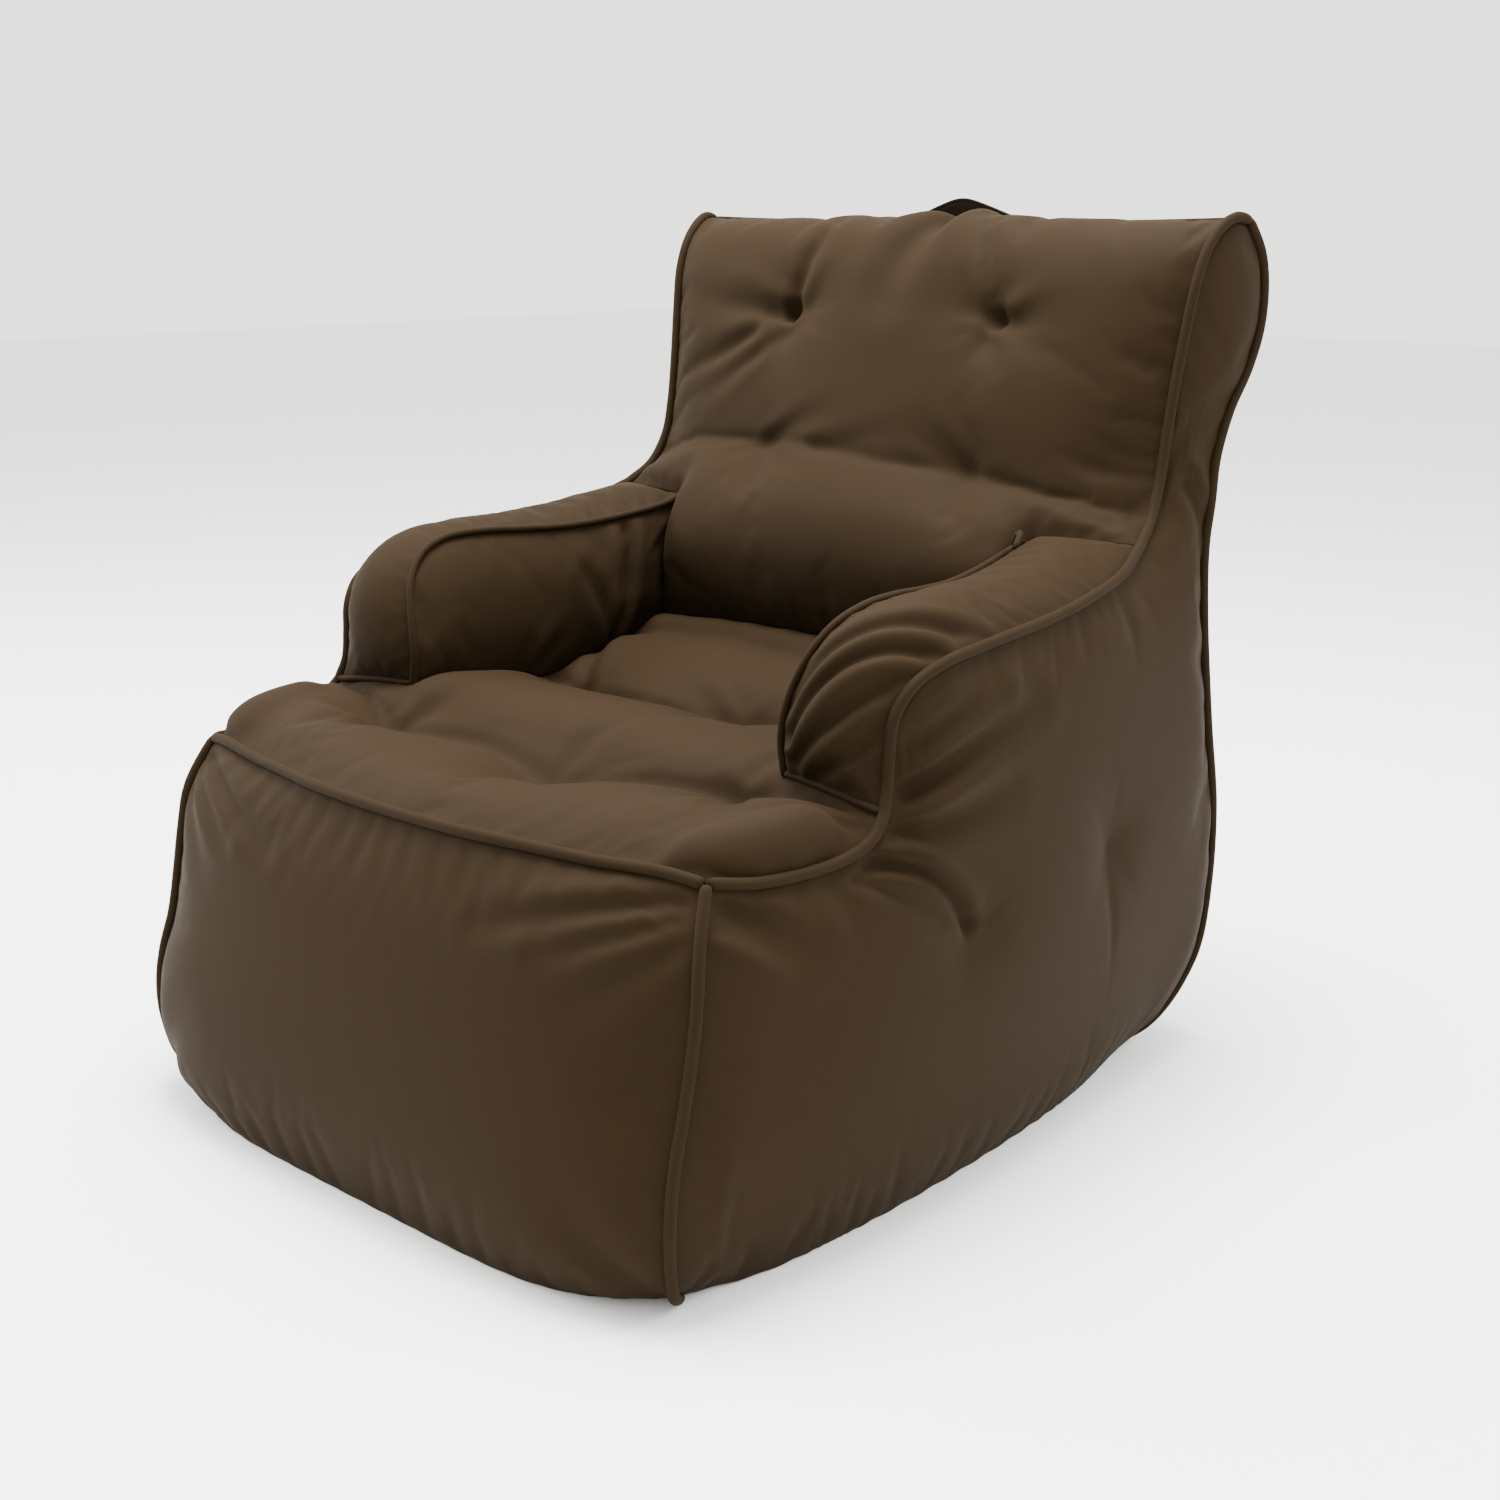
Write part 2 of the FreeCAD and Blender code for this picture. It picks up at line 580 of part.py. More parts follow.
doc.recompute()
for obj in doc.Objects:
    faults = [word for word in obj.State if word in ("Invalid", "Error")]
    if faults:
        raise RuntimeError(f"{obj.Name}: {faults}")
for obj in made:
    shape = obj.Shape
    if shape.isNull() or not shape.isValid() or shape.Volume <= 0:
        raise RuntimeError(f"{obj.Label} has no valid solid")
    shape.exportStep(f"parts/{obj.Label}.step")
    bounds = shape.BoundBox
    print(f"{obj.Label:26s} {len(shape.Solids)} solid(s) {shape.Volume / 1000:10.1f} cm3 "
          f"x {bounds.XMin:7.1f} {bounds.XMax:7.1f} y {bounds.YMin:7.1f} {bounds.YMax:7.1f} "
          f"z {bounds.ZMin:7.1f} {bounds.ZMax:7.1f}")
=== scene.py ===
import logging
import math
from dataclasses import dataclass, field, replace
from enum import Enum
from typing import Any, Callable, Sequence

import bmesh
import bpy
import numpy as np
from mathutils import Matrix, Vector


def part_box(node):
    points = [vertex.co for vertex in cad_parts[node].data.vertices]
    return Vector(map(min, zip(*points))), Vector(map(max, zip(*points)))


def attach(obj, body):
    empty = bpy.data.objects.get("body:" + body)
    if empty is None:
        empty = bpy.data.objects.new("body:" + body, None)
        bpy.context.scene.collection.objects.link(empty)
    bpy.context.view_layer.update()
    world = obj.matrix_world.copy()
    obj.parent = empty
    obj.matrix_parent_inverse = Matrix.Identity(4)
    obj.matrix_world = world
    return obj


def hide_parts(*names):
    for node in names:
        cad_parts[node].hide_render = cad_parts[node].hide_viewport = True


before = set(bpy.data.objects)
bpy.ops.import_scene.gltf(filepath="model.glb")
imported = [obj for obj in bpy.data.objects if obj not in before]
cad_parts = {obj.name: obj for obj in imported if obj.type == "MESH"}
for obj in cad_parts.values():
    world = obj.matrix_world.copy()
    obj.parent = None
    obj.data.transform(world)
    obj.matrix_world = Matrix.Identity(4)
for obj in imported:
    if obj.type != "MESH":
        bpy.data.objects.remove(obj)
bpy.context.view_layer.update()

Array = np.ndarray
Points = Sequence[Sequence[float]]
log = logging.getLogger("bean_bag_chair")

# Metres, in the frame of the CAD model: X across, the sitter faces -Y, Z up, floor at z = 0.
# Every seam is given on the right side (+X) and mirrored to the left. Its points, and those of
# the folds, are written in millimetres.


def mm(*points: Sequence[float]) -> Points:
    """The points in metres, from points in millimetres."""
    return tuple(tuple(value / 1000 for value in point) for point in points)


# ---- lines and grids

def resample(line: Array, count: int) -> Array:
    """Spaces points evenly along a polyline by its running length.

    Args:
        line: the polyline, one row per point.
        count: how many points to return.

    Returns:
        The evenly spaced points, ends included.
    """
    steps = np.linalg.norm(np.diff(line, axis=0), axis=1)
    run = np.concatenate([[0.0], np.cumsum(steps)])
    at = np.linspace(0.0, run[-1], count)
    return np.stack([np.interp(at, run, line[:, axis]) for axis in range(3)], axis=1)


def smooth_line(points: Points, count: int) -> Array:
    """A smooth curve through the points: a centripetal Catmull-Rom spline, evenly spaced.

    Each span blends four neighbouring points with weights that depend on the square root of
    their distances, which keeps the curve free of loops at sharp turns.

    Args:
        points: the points that the curve passes through.
        count: how many points to return.

    Returns:
        The curve's points, ends included.
    """
    given = np.asarray(points, float)
    ends = np.vstack([2 * given[0] - given[1], given, 2 * given[-1] - given[-2]])
    spans = []
    for index in range(len(given) - 1):
        a, b, c, d = ends[index:index + 4]
        t0 = 0.0
        t1 = t0 + math.sqrt(np.linalg.norm(b - a)) + 1e-9
        t2 = t1 + math.sqrt(np.linalg.norm(c - b)) + 1e-9
        t3 = t2 + math.sqrt(np.linalg.norm(d - c)) + 1e-9
        t = np.linspace(t1, t2, 24, endpoint=index == len(given) - 2)[:, None]
        ab = (t1 - t) / (t1 - t0) * a + (t - t0) / (t1 - t0) * b
        bc = (t2 - t) / (t2 - t1) * b + (t - t1) / (t2 - t1) * c
        cd = (t3 - t) / (t3 - t2) * c + (t - t2) / (t3 - t2) * d
        abc = (t2 - t) / (t2 - t0) * ab + (t - t0) / (t2 - t0) * bc
        bcd = (t3 - t) / (t3 - t1) * bc + (t - t1) / (t3 - t1) * cd
        spans.append((t2 - t) / (t2 - t1) * abc + (t - t1) / (t2 - t1) * bcd)
    return resample(np.vstack(spans), count)


def mirrored(line: Array) -> Array:
    """The same line or grid on the other side of the chair."""
    return line * np.array([-1.0, 1.0, 1.0])


def coons(bottom: Array, top: Array, left: Array, right: Array) -> Array:
    """A surface between four edges: the two ruled surfaces added, less the bilinear one.

    Args:
        bottom: first row of the grid, from left to right.
        top: last row of the grid, from left to right.
        left: first column of the grid, from bottom to top.
        right: last column of the grid, from bottom to top.

    Returns:
        The grid, as rows by columns by 3.
    """
    u = np.linspace(0.0, 1.0, len(bottom))[None, :, None]
    v = np.linspace(0.0, 1.0, len(left))[:, None, None]
    across = (1 - u) * left[:, None] + u * right[:, None]
    along = (1 - v) * bottom[None] + v * top[None]
    corners = ((1 - u) * (1 - v) * bottom[0] + u * (1 - v) * bottom[-1]
               + (1 - u) * v * top[0] + u * v * top[-1])
    return across + along - corners


def evened(grid: Array, rounds: int = 1500) -> Array:
    """A grid on an upright surface with its inner points moved until no cell folds over another.

    Every inner point moves to where the smooth grid lines through its neighbours meet: with a the
    squared step along its column, c the squared step along its row and b their product, to
    (a (left + right) + c (below + above) - 2 b cross) / 2 (a + c), again and again.

    Args:
        grid: rows by columns by 3; its edges stay where they are.
        rounds: how many times the points move.

    Returns:
        The new grid.
    """
    grid = grid.copy()
    for _ in range(rounds):
        along = (grid[1:-1, 2:] - grid[1:-1, :-2]) / 2
        up = (grid[2:, 1:-1] - grid[:-2, 1:-1]) / 2
        a = (up[..., 1:] ** 2).sum(-1, keepdims=True)
        c = (along[..., 1:] ** 2).sum(-1, keepdims=True)
        b = (up[..., 1:] * along[..., 1:]).sum(-1, keepdims=True)
        cross = (grid[2:, 2:] - grid[2:, :-2] - grid[:-2, 2:] + grid[:-2, :-2]) / 4
        target = (a * (grid[1:-1, 2:] + grid[1:-1, :-2]) + c * (grid[2:, 1:-1] + grid[:-2, 1:-1])
                  - 2 * b * cross) / np.maximum(2 * (a + c), 1e-12)
        grid[1:-1, 1:-1] = target
    return grid


def carried(middle: Array, side: Array, shares: Array, power: float = 2.2) -> Array:
    """A profile carried from the middle of the chair to its side.

    At a share s of the way across, x is s times the side's x, and y and z move from the middle
    profile to the side profile as the power of s.

    Args:
        middle: the profile in the middle plane, bottom to top.
        side: the profile at the right side, bottom to top.
        shares: the columns' places, from -1 at the left side to 1 at the right.
        power: how late the surface turns towards its side profile.

    Returns:
        The grid, as rows by columns by 3.
    """
    s = shares[None, :, None]
    blend = np.abs(s) ** power
    grid = middle[:, None] * (1 - blend) + side[:, None] * blend
    grid[..., 0] = side[:, None, 0] * shares[None, :]
    return grid


def grid_normals(grid: Array, outward: Array) -> Array:
    """Unit normals of a grid, turned to the outward side.

    Args:
        grid: rows by columns by 3.
        outward: a direction that points away from the chair.

    Returns:
        The normals, in the grid's own shape.
    """
    normal = np.cross(np.gradient(grid, axis=1), np.gradient(grid, axis=0))
    length = np.linalg.norm(normal, axis=-1, keepdims=True)
    normal = normal / np.maximum(length, 1e-12)
    return normal if (normal.reshape(-1, 3) @ outward).mean() > 0 else -normal


def distance_to(points: Array, lines: Sequence[Array], spacing: float = 0.006) -> Array:
    """How far each point is from the nearest of some lines.

    Args:
        points: rows by columns by 3.
        lines: the lines, each with one row per point.
        spacing: how closely the lines are sampled.

    Returns:
        The distances, rows by columns.
    """
    spread = []
    for line in lines:
        length = float(np.linalg.norm(np.diff(line, axis=0), axis=1).sum())
        spread.append(resample(line, max(2, int(length / spacing))))
    samples = np.vstack(spread)
    nearest = [np.sqrt(((row[:, None] - samples[None]) ** 2).sum(axis=2).min(axis=1)) for row in points]
    return np.array(nearest)


def ease(low: float, high: float, value: Array) -> Array:
    """A smooth step from 0 at low to 1 at high."""
    t = np.clip((value - low) / (high - low), 0.0, 1.0)
    return t * t * (3 - 2 * t)


# ---- tufts and folds

TUFT_STEEPNESS = 1.9
TUFT_PUCKER = 0.64
TUFT_TURN = 7.0
ROLL_PLACE = 1.7
ROLL_BREADTH = 0.95
CREST_BLUNTNESS = 0.8


def apart(offset: Array, normals: Array) -> Array:
    """The lengths of some offsets, with their part along the surface's normals counted as a third."""
    square = (offset ** 2).sum(axis=-1)
    along = (offset * normals).sum(axis=-1)
    return np.sqrt(np.maximum(square - along ** 2 * (1 - 1 / 9), 0.0))


@dataclass(frozen=True)
class Tuft:
    """A point where a cord pulls the cover in.

    Attributes:
        at: the point, near the surface.
        depth: how far it is pulled in.
        reach: the radius of the hollow around it.
        rays: how many small puckers radiate from it.
    """

    at: tuple[float, float, float]
    depth: float = 0.022
    reach: float = 0.055
    rays: int = 5

    def pull(self, points: Array, normals: Array) -> Array:
        """How far each point moves along its normal.

        The hollow is h = exp(-1.9 d / reach), times the depth, and the puckers multiply it by
        1 + 0.64 (1 - h) cos(rays times the bearing), so they fade towards its middle.
        """
        offset = points - np.array(self.at)
        distance = apart(offset, normals)
        axis = normals.reshape(-1, 3)[np.argmin(distance.reshape(-1))]
        side = np.cross(axis, (0.0, 0.0, 1.0) if abs(axis[2]) < 0.8 else (0.0, 1.0, 0.0))
        side = side / np.linalg.norm(side)
        bearing = np.arctan2(offset @ np.cross(axis, side), offset @ side)
        hollow = np.exp(-TUFT_STEEPNESS * distance / self.reach)
        phase = TUFT_TURN * self.at[0]
        pucker = TUFT_PUCKER * np.cos(self.rays * bearing + phase) * ease(0.004, 0.03, distance)
        return -self.depth * hollow * (1 + pucker * (1 - hollow))


@dataclass(frozen=True)
class Fold:
    """A crease in the cover, with a soft roll on each side of it.

    Attributes:
        line: the crease's points, from its deep end on.
        depth: its depth at the start.
        width: the half-width of the valley at the start.
        spread: how much wider it is at its far end.
        fade: the depth that is left at the far end, as a share.
        roll: the height of the rolls beside it, as a share of the depth.
    """

    line: Points
    depth: float = 0.008
    width: float = 0.008
    spread: float = 1.6
    fade: float = 0.15
    roll: float = 0.4

    def pull(self, points: Array, normals: Array) -> Array:
        """How far each point moves along its normal: a valley of exp(-q^2) between two rolls.

        q is the distance from the crease over its width there, and the rolls are highest at 1.7 q.
        """
        corners = np.asarray(self.line, float)
        if len(corners) > 2:
            corners = smooth_line(self.line, 4 * len(corners))
        nearest = np.full(points.shape[:-1], 1e9)
        along = np.zeros(points.shape[:-1])
        pieces = len(corners) - 1
        for index in range(pieces):
            start, step = corners[index], corners[index + 1] - corners[index]
            share = np.clip(((points - start) @ step) / (step @ step), 0.0, 1.0)
            distance = apart(points - start - share[..., None] * step, normals)
            closer = distance < nearest
            nearest = np.where(closer, distance, nearest)
            along = np.where(closer, (index + share) / pieces, along)
        depth = self.depth * (1 + (self.fade - 1) * along)
        q = nearest / (self.width * (1 + (self.spread - 1) * along))
        return depth * (self.roll * np.exp(-((q - ROLL_PLACE) / ROLL_BREADTH) ** 2) - np.exp(-q ** 2))


@dataclass(frozen=True)
class Rolls:
    """Rounded rolls between sewn rows, as a quilted cushion has.

    Attributes:
        rows: the sewn rows in order, the first and the last of them seams of the panel. Each is
            given by points of (x, w), with w measured along the axis.
        heights: how high each roll stands above the rows beside it.
        axis: 1 for rows that follow one another in y, 2 for rows in z.
        sink: how far the rows lie below the panel's plain surface.
        blunt: how broad the crests are; 2 is a circle-like crest.
    """

    rows: Sequence[Sequence[tuple[float, float]]]
    heights: Sequence[float]
    axis: int = 1
    sink: float = 0.010
    blunt: float = 2.2

    def pull(self, points: Array, normals: Array) -> Array:
        """How far each point moves: the roll's height times (1 - |2t - 1| ^ blunt) ^ 0.8, less the sink.

        t is how far the point lies from one row to the next.
        """
        level = points[..., self.axis]
        edges = [np.interp(points[..., 0], *np.array(row).T) for row in self.rows]
        rise = np.zeros(level.shape)
        last = len(self.heights) - 1
        for index, (low, high, height) in enumerate(zip(edges, edges[1:], self.heights)):
            t = (level - low) / (high - low)
            inside = ((t >= 0) | (index == 0)) & ((t < 1) | (index == last))
            crest = 1 - np.abs(2 * np.clip(t, 0, 1) - 1) ** self.blunt
            rise = np.where(inside, height * crest ** CREST_BLUNTNESS, rise)
        return rise - self.sink


Detail = Tuft | Fold | Rolls


def other_side(detail: Tuft | Fold) -> Tuft | Fold:
    """The detail's mirror image on the other side of the chair."""
    if isinstance(detail, Tuft):
        x, y, z = detail.at
        return replace(detail, at=(-x, y, z))
    return replace(detail, line=[(-x, y, z) for x, y, z in detail.line])


def both_sides(details: Sequence[Tuft | Fold]) -> list[Tuft | Fold]:
    """The details and their mirror images."""
    return [*details, *map(other_side, details)]


# ---- meshes

SAME_PLACE = 1e-7
SAME_SEAM = 2e-4
TIP_SHARE = 0.02
SHOULDER_SHARE = 0.8


def make_object(name: str, vertices: Array, faces: Array, uv: Array | None = None) -> bpy.types.Object:
    """Makes a smooth-shaded object from numpy arrays.

    Args:
        name: the piece's name.
        vertices: one row per vertex.
        faces: one row of four vertex numbers per face.
        uv: one row per vertex, in metres over the cloth, or None.

    Returns:
        The object, linked to the scene.
    """
    mesh = bpy.data.meshes.new(name)
    mesh.vertices.add(len(vertices))
    mesh.vertices.foreach_set("co", np.ascontiguousarray(vertices, np.float32).ravel())
    mesh.loops.add(faces.size)
    mesh.loops.foreach_set("vertex_index", np.ascontiguousarray(faces, np.int32).ravel())
    mesh.polygons.add(len(faces))
    mesh.polygons.foreach_set("loop_start", np.arange(0, faces.size, faces.shape[1], dtype=np.int32))
    mesh.update(calc_edges=True)
    mesh.polygons.foreach_set("use_smooth", np.ones(len(faces), bool))
    if uv is not None:
        layer = mesh.uv_layers.new(name="cloth")
        layer.data.foreach_set("uv", np.ascontiguousarray(uv[faces.ravel()], np.float32).ravel())
    mesh.validate()
    piece = bpy.data.objects.new(name, mesh)
    bpy.context.collection.objects.link(piece)
    return piece


def grid_faces(grid: Array, outward: Sequence[float], first: int = 0) -> Array:
    """The cells of a grid, with their corners in the order that turns them outwards.

    Args:
        grid: rows by columns by 3.
        outward: a direction away from the chair.
        first: the number of the grid's first vertex.

    Returns:
        One row of four vertex numbers per cell.
    """
    rows, columns = grid.shape[:2]
    raw = np.cross(np.gradient(grid, axis=1), np.gradient(grid, axis=0)).reshape(-1, 3)
    corner = (np.arange(rows - 1)[:, None] * columns + np.arange(columns - 1)[None]).ravel() + first
    quads = np.stack([corner, corner + 1, corner + columns + 1, corner + columns], axis=1)
    return quads[:, ::-1] if (raw @ np.array(outward)).mean() < 0 else quads


def ring_faces(rings: int, around: int) -> Array:
    """The cells between rings of points that follow one another, each ring closed."""
    start = np.arange(rings - 1)[:, None] * around
    here, after = np.arange(around)[None], np.roll(np.arange(around), -1)[None]
    cells = np.stack([start + here, start + after, start + around + after, start + around + here], axis=-1)
    return cells.reshape(-1, 4)


def vectors(vertices: bpy.types.MeshVertices, attribute: str = "co") -> Array:
    """The places, or another vector, of a mesh's vertices as an array."""
    flat = np.empty(len(vertices) * 3, np.float32)
    vertices.foreach_get(attribute, flat)
    return flat.reshape(-1, 3).astype(float)


def set_positions(piece: bpy.types.Object, points: Array) -> None:
    """Moves a mesh's vertices to the given places."""
    piece.data.vertices.foreach_set("co", np.ascontiguousarray(points, np.float32).ravel())
    piece.data.update()


def mend(piece: bpy.types.Object, merge: float = 0.0, close: bool = False, turn: bool = True) -> None:
    """Merges doubled vertices, fills open ends and turns the faces of a closed mesh outwards.

    Args:
        piece: the mesh object.
        merge: how near two vertices are to be merged; 0 merges none.
        close: whether open ends are filled.
        turn: whether the faces are turned.
    """
    work = bmesh.new()
    work.from_mesh(piece.data)
    if merge:
        bmesh.ops.remove_doubles(work, verts=work.verts, dist=merge)
    if close:
        bmesh.ops.holes_fill(work, edges=[edge for edge in work.edges if edge.is_boundary])
    if turn:
        bmesh.ops.recalc_face_normals(work, faces=work.faces)
    work.to_mesh(piece.data)
    work.free()


def thicken(piece: bpy.types.Object, thickness: float, smooth: bool) -> None:
    """Gives a panel's cloth its thickness, inwards, and smooths the panel once before that if asked."""
    if smooth:
        rounded = piece.modifiers.new("smooth", "SUBSURF")
        rounded.levels = rounded.render_levels = 1
    wall = piece.modifiers.new("wall", "SOLIDIFY")
    wall.thickness = thickness
    wall.offset = -1.0


def tube_mesh(name: str, line: Array, radius: float, around: int = 14) -> bpy.types.Object:
    """A round cord along a line: a circle carried along it without twisting, closed at both ends.

    The first frame is turned with the line's direction from step to step, which is parallel
    transport. The last two rings shrink to close the ends.

    Args:
        name: the piece's name.
        line: the centre line's points.
        radius: the cord's radius.
        around: how many points each ring has.

    Returns:
        The object.
    """
    tangent = np.gradient(line, axis=0)
    tangent /= np.linalg.norm(tangent, axis=1, keepdims=True)
    side = np.cross(tangent[0], (0.0, 0.0, 1.0) if abs(tangent[0][2]) < 0.9 else (0.0, 1.0, 0.0))
    sides = [side / np.linalg.norm(side)]
    for step in tangent[1:]:
        turned = sides[-1] - step * (sides[-1] @ step)
        sides.append(turned / np.linalg.norm(turned))
    sides = np.array(sides)
    ups = np.cross(tangent, sides)
    rings = np.concatenate([[line[0]], line, [line[-1]]])
    sides, ups = (np.concatenate([[a[0]], a, [a[-1]]]) for a in (sides, ups))
    radii = np.full(len(rings), radius)
    radii[[0, -1]] = radius * TIP_SHARE
    radii[[1, -2]] = radius * SHOULDER_SHARE
    angle = np.linspace(0, 2 * math.pi, around, endpoint=False)
    ring = np.cos(angle)[None, :, None] * sides[:, None] + np.sin(angle)[None, :, None] * ups[:, None]
    points = rings[:, None] + ring * radii[:, None, None]
    run = np.concatenate([[0.0], np.cumsum(np.linalg.norm(np.diff(rings, axis=0), axis=1))])
    uv = np.stack(np.broadcast_arrays(run[:, None], (angle * radius)[None]), axis=-1).reshape(-1, 2)
    piece = make_object(name, points.reshape(-1, 3), ring_faces(len(rings), around), uv)
    mend(piece, merge=SAME_PLACE)
    return piece


# ---- shader maths

class Signal:
    """A node socket that adds a Math node for each arithmetic operator used on it."""

    def __init__(self, tree: bpy.types.NodeTree, socket: bpy.types.NodeSocket) -> None:
        """Wraps one output socket of a tree."""
        self.tree = tree
        self.socket = socket

    def _math(self, operation: str, first: Any, second: Any = None) -> "Signal":
        """Adds one Math node for the operation on one or two values."""
        node = self.tree.nodes.new("ShaderNodeMath")
        node.operation = operation
        for slot, value in zip(node.inputs, (first, second)):
            if isinstance(value, Signal):
                self.tree.links.new(value.socket, slot)
            elif value is not None:
                slot.default_value = value
        return Signal(self.tree, node.outputs[0])

    def __add__(self, other: Any) -> "Signal":
        """Adds two values."""
        return self._math("ADD", self, other)

    def __sub__(self, other: Any) -> "Signal":
        """Subtracts the other value."""
        return self._math("SUBTRACT", self, other)

    def __rsub__(self, other: Any) -> "Signal":
        """Subtracts this value from a number."""
        return self._math("SUBTRACT", other, self)

    def __mul__(self, other: Any) -> "Signal":
        """Multiplies two values."""
        return self._math("MULTIPLY", self, other)

    __radd__ = __add__
    __rmul__ = __mul__

    def sine(self) -> "Signal":
        """The sine of the value."""
        return self._math("SINE", self)

    def clamp(self) -> "Signal":
        """The value kept between 0 and 1."""
        return self._math("MINIMUM", self._math("MAXIMUM", self, 0.0), 1.0)


class Shader:
    """One material and the few ways in which its nodes are made."""

    def __init__(self, name: str) -> None:
        """Makes an empty node material with a Principled shader."""
        self.material = bpy.data.materials.new(name)
        self.material.use_nodes = True
        self.tree = self.material.node_tree
        self.surface = self.tree.nodes["Principled BSDF"]

    def node(self, kind: str, settings: dict[str, Any] | None = None, **inputs: Any) -> bpy.types.Node:
        """Adds a node: its settings are set first, then the values or links of its sockets.

        Args:
            kind: the node's type.
            settings: its attributes, such as an operation.
            **inputs: socket names, with _ for a space, and their values or links.

        Returns:
            The node.
        """
        node = self.tree.nodes.new(kind)
        for key, value in (settings or {}).items():
            setattr(node, key, value)
        for key, value in inputs.items():
            socket = node.inputs[key.replace("_", " ")]
            if isinstance(value, Signal):
                self.tree.links.new(value.socket, socket)
            elif isinstance(value, bpy.types.NodeSocket):
                self.tree.links.new(value, socket)
            else:
                socket.default_value = value
        return node

    def signal(self, socket: bpy.types.NodeSocket) -> Signal:
        """Wraps an output socket for arithmetic."""
        return Signal(self.tree, socket)

    def noise(self, vector: bpy.types.NodeSocket, scale: float, detail: float = 3.0, rough: float = 0.55) -> Signal:
        """Noise between 0 and 1 at a scale per metre."""
        node = self.node("ShaderNodeTexNoise", None, Vector=vector, Scale=scale, Detail=detail, Roughness=rough)
        return self.signal(node.outputs["Fac"])

    def mixed(self, share: Signal | float, first: Sequence[float], second: Sequence[float]) -> bpy.types.NodeSocket:
        """A colour between two colours."""
        node = self.tree.nodes.new("ShaderNodeMix")
        node.data_type = "RGBA"
        if isinstance(share, Signal):
            self.tree.links.new(share.socket, node.inputs[0])
        node.inputs[6].default_value = (*first, 1.0)
        node.inputs[7].default_value = (*second, 1.0)
        return node.outputs[2]

    def bump(self, height: Signal, strength: float, distance: float) -> None:
        """Feeds a height into the shader's normal."""
        node = self.node("ShaderNodeBump", None, Height=height, Strength=strength, Distance=distance)
        self.tree.links.new(node.outputs["Normal"], self.surface.inputs["Normal"])

    def link(self, value: Signal | bpy.types.NodeSocket, name: str) -> None:
        """Feeds a value into one of the shader's own sockets."""
        socket = value.socket if isinstance(value, Signal) else value
        self.tree.links.new(socket, self.surface.inputs[name])

    def constant(self, **values: Any) -> None:
        """Sets the shader's own sockets that are the same all over."""
        for key, value in values.items():
            self.surface.inputs[key.replace("_", " ")].default_value = value


Colour = tuple[float, float, float]


class Weave(Enum):
    """How a cloth is woven: threads per metre, and how deep the weave is."""

    SMOOTH = (900.0, 0.10)
    WEBBING = (520.0, 0.35)
    PLAIN = (600.0, 0.25)


@dataclass(frozen=True)
class ClothFinish:
    """A woven cloth: two crossing sets of threads, slubs, and a soft sheen."""

    name: str
    dark: Colour
    light: Colour
    weave: Weave = Weave.SMOOTH
    roughness: float = 0.72
    sheen: float = 0.012

    def material(self) -> bpy.types.Material:
        """Builds the cloth's material.

        The weave is sin(x) sin(y) over the cloth's own metres, with noise for slubs; the colour
        moves between the two colours with broad noise, fine noise and the weave.
        """
        shader = Shader(self.name)
        cloth = shader.node("ShaderNodeUVMap", {"uv_map": "cloth"}).outputs["UV"]
        place = shader.node("ShaderNodeTexCoord").outputs["Object"]
        split = shader.node("ShaderNodeSeparateXYZ", None, Vector=cloth)
        pitch, depth = self.weave.value
        warp = (shader.signal(split.outputs["X"]) * (pitch * 2 * math.pi)).sine()
        weft = (shader.signal(split.outputs["Y"]) * (pitch * 2 * math.pi)).sine()
        threads = warp * weft * 0.5 + 0.5
        broad = shader.noise(place, 5.0, 3.0)
        fine = shader.noise(place, 420.0, 2.0, 0.6)
        slub = shader.noise(place, 60.0, 4.0, 0.6)
        share = (broad * 0.5 + fine * 0.25 + slub * 0.2 + threads * 0.15 - 0.05).clamp()
        shader.link(shader.mixed(share, self.dark, self.light), "Base Color")
        shader.link(fine * 0.10 + slub * 0.08 + (self.roughness - 0.09), "Roughness")
        shader.bump(threads * depth + fine * 0.35 + slub * 0.35, 0.35, 0.0006)
        shader.constant(Sheen_Weight=self.sheen, Sheen_Roughness=0.45, Sheen_Tint=(0.9, 0.74, 0.52, 1.0),
                        Specular_IOR_Level=0.03)
        return shader.material


@dataclass(frozen=True)
class SolidFinish:
    """A moulded, painted or foamed solid with fine grain."""

    name: str
    dark: Colour
    light: Colour
    roughness: float = 0.5
    metallic: float = 0.0
    grain: float = 900.0
    depth: float = 0.0002

    def material(self) -> bpy.types.Material:
        """Builds the material: colour, roughness and bump from one grain of noise."""
        shader = Shader(self.name)
        place = shader.node("ShaderNodeTexCoord").outputs["Object"]
        grain = shader.noise(place, self.grain, 3.0)
        broad = shader.noise(place, self.grain / 12, 3.0)
        shader.link(shader.mixed((grain * 0.5 + broad * 0.5).clamp(), self.dark, self.light), "Base Color")
        shader.link(grain * 0.15 + broad * 0.1 + (self.roughness - 0.12), "Roughness")
        shader.bump(grain, 0.4, self.depth)
        shader.constant(Metallic=self.metallic)
        return shader.material


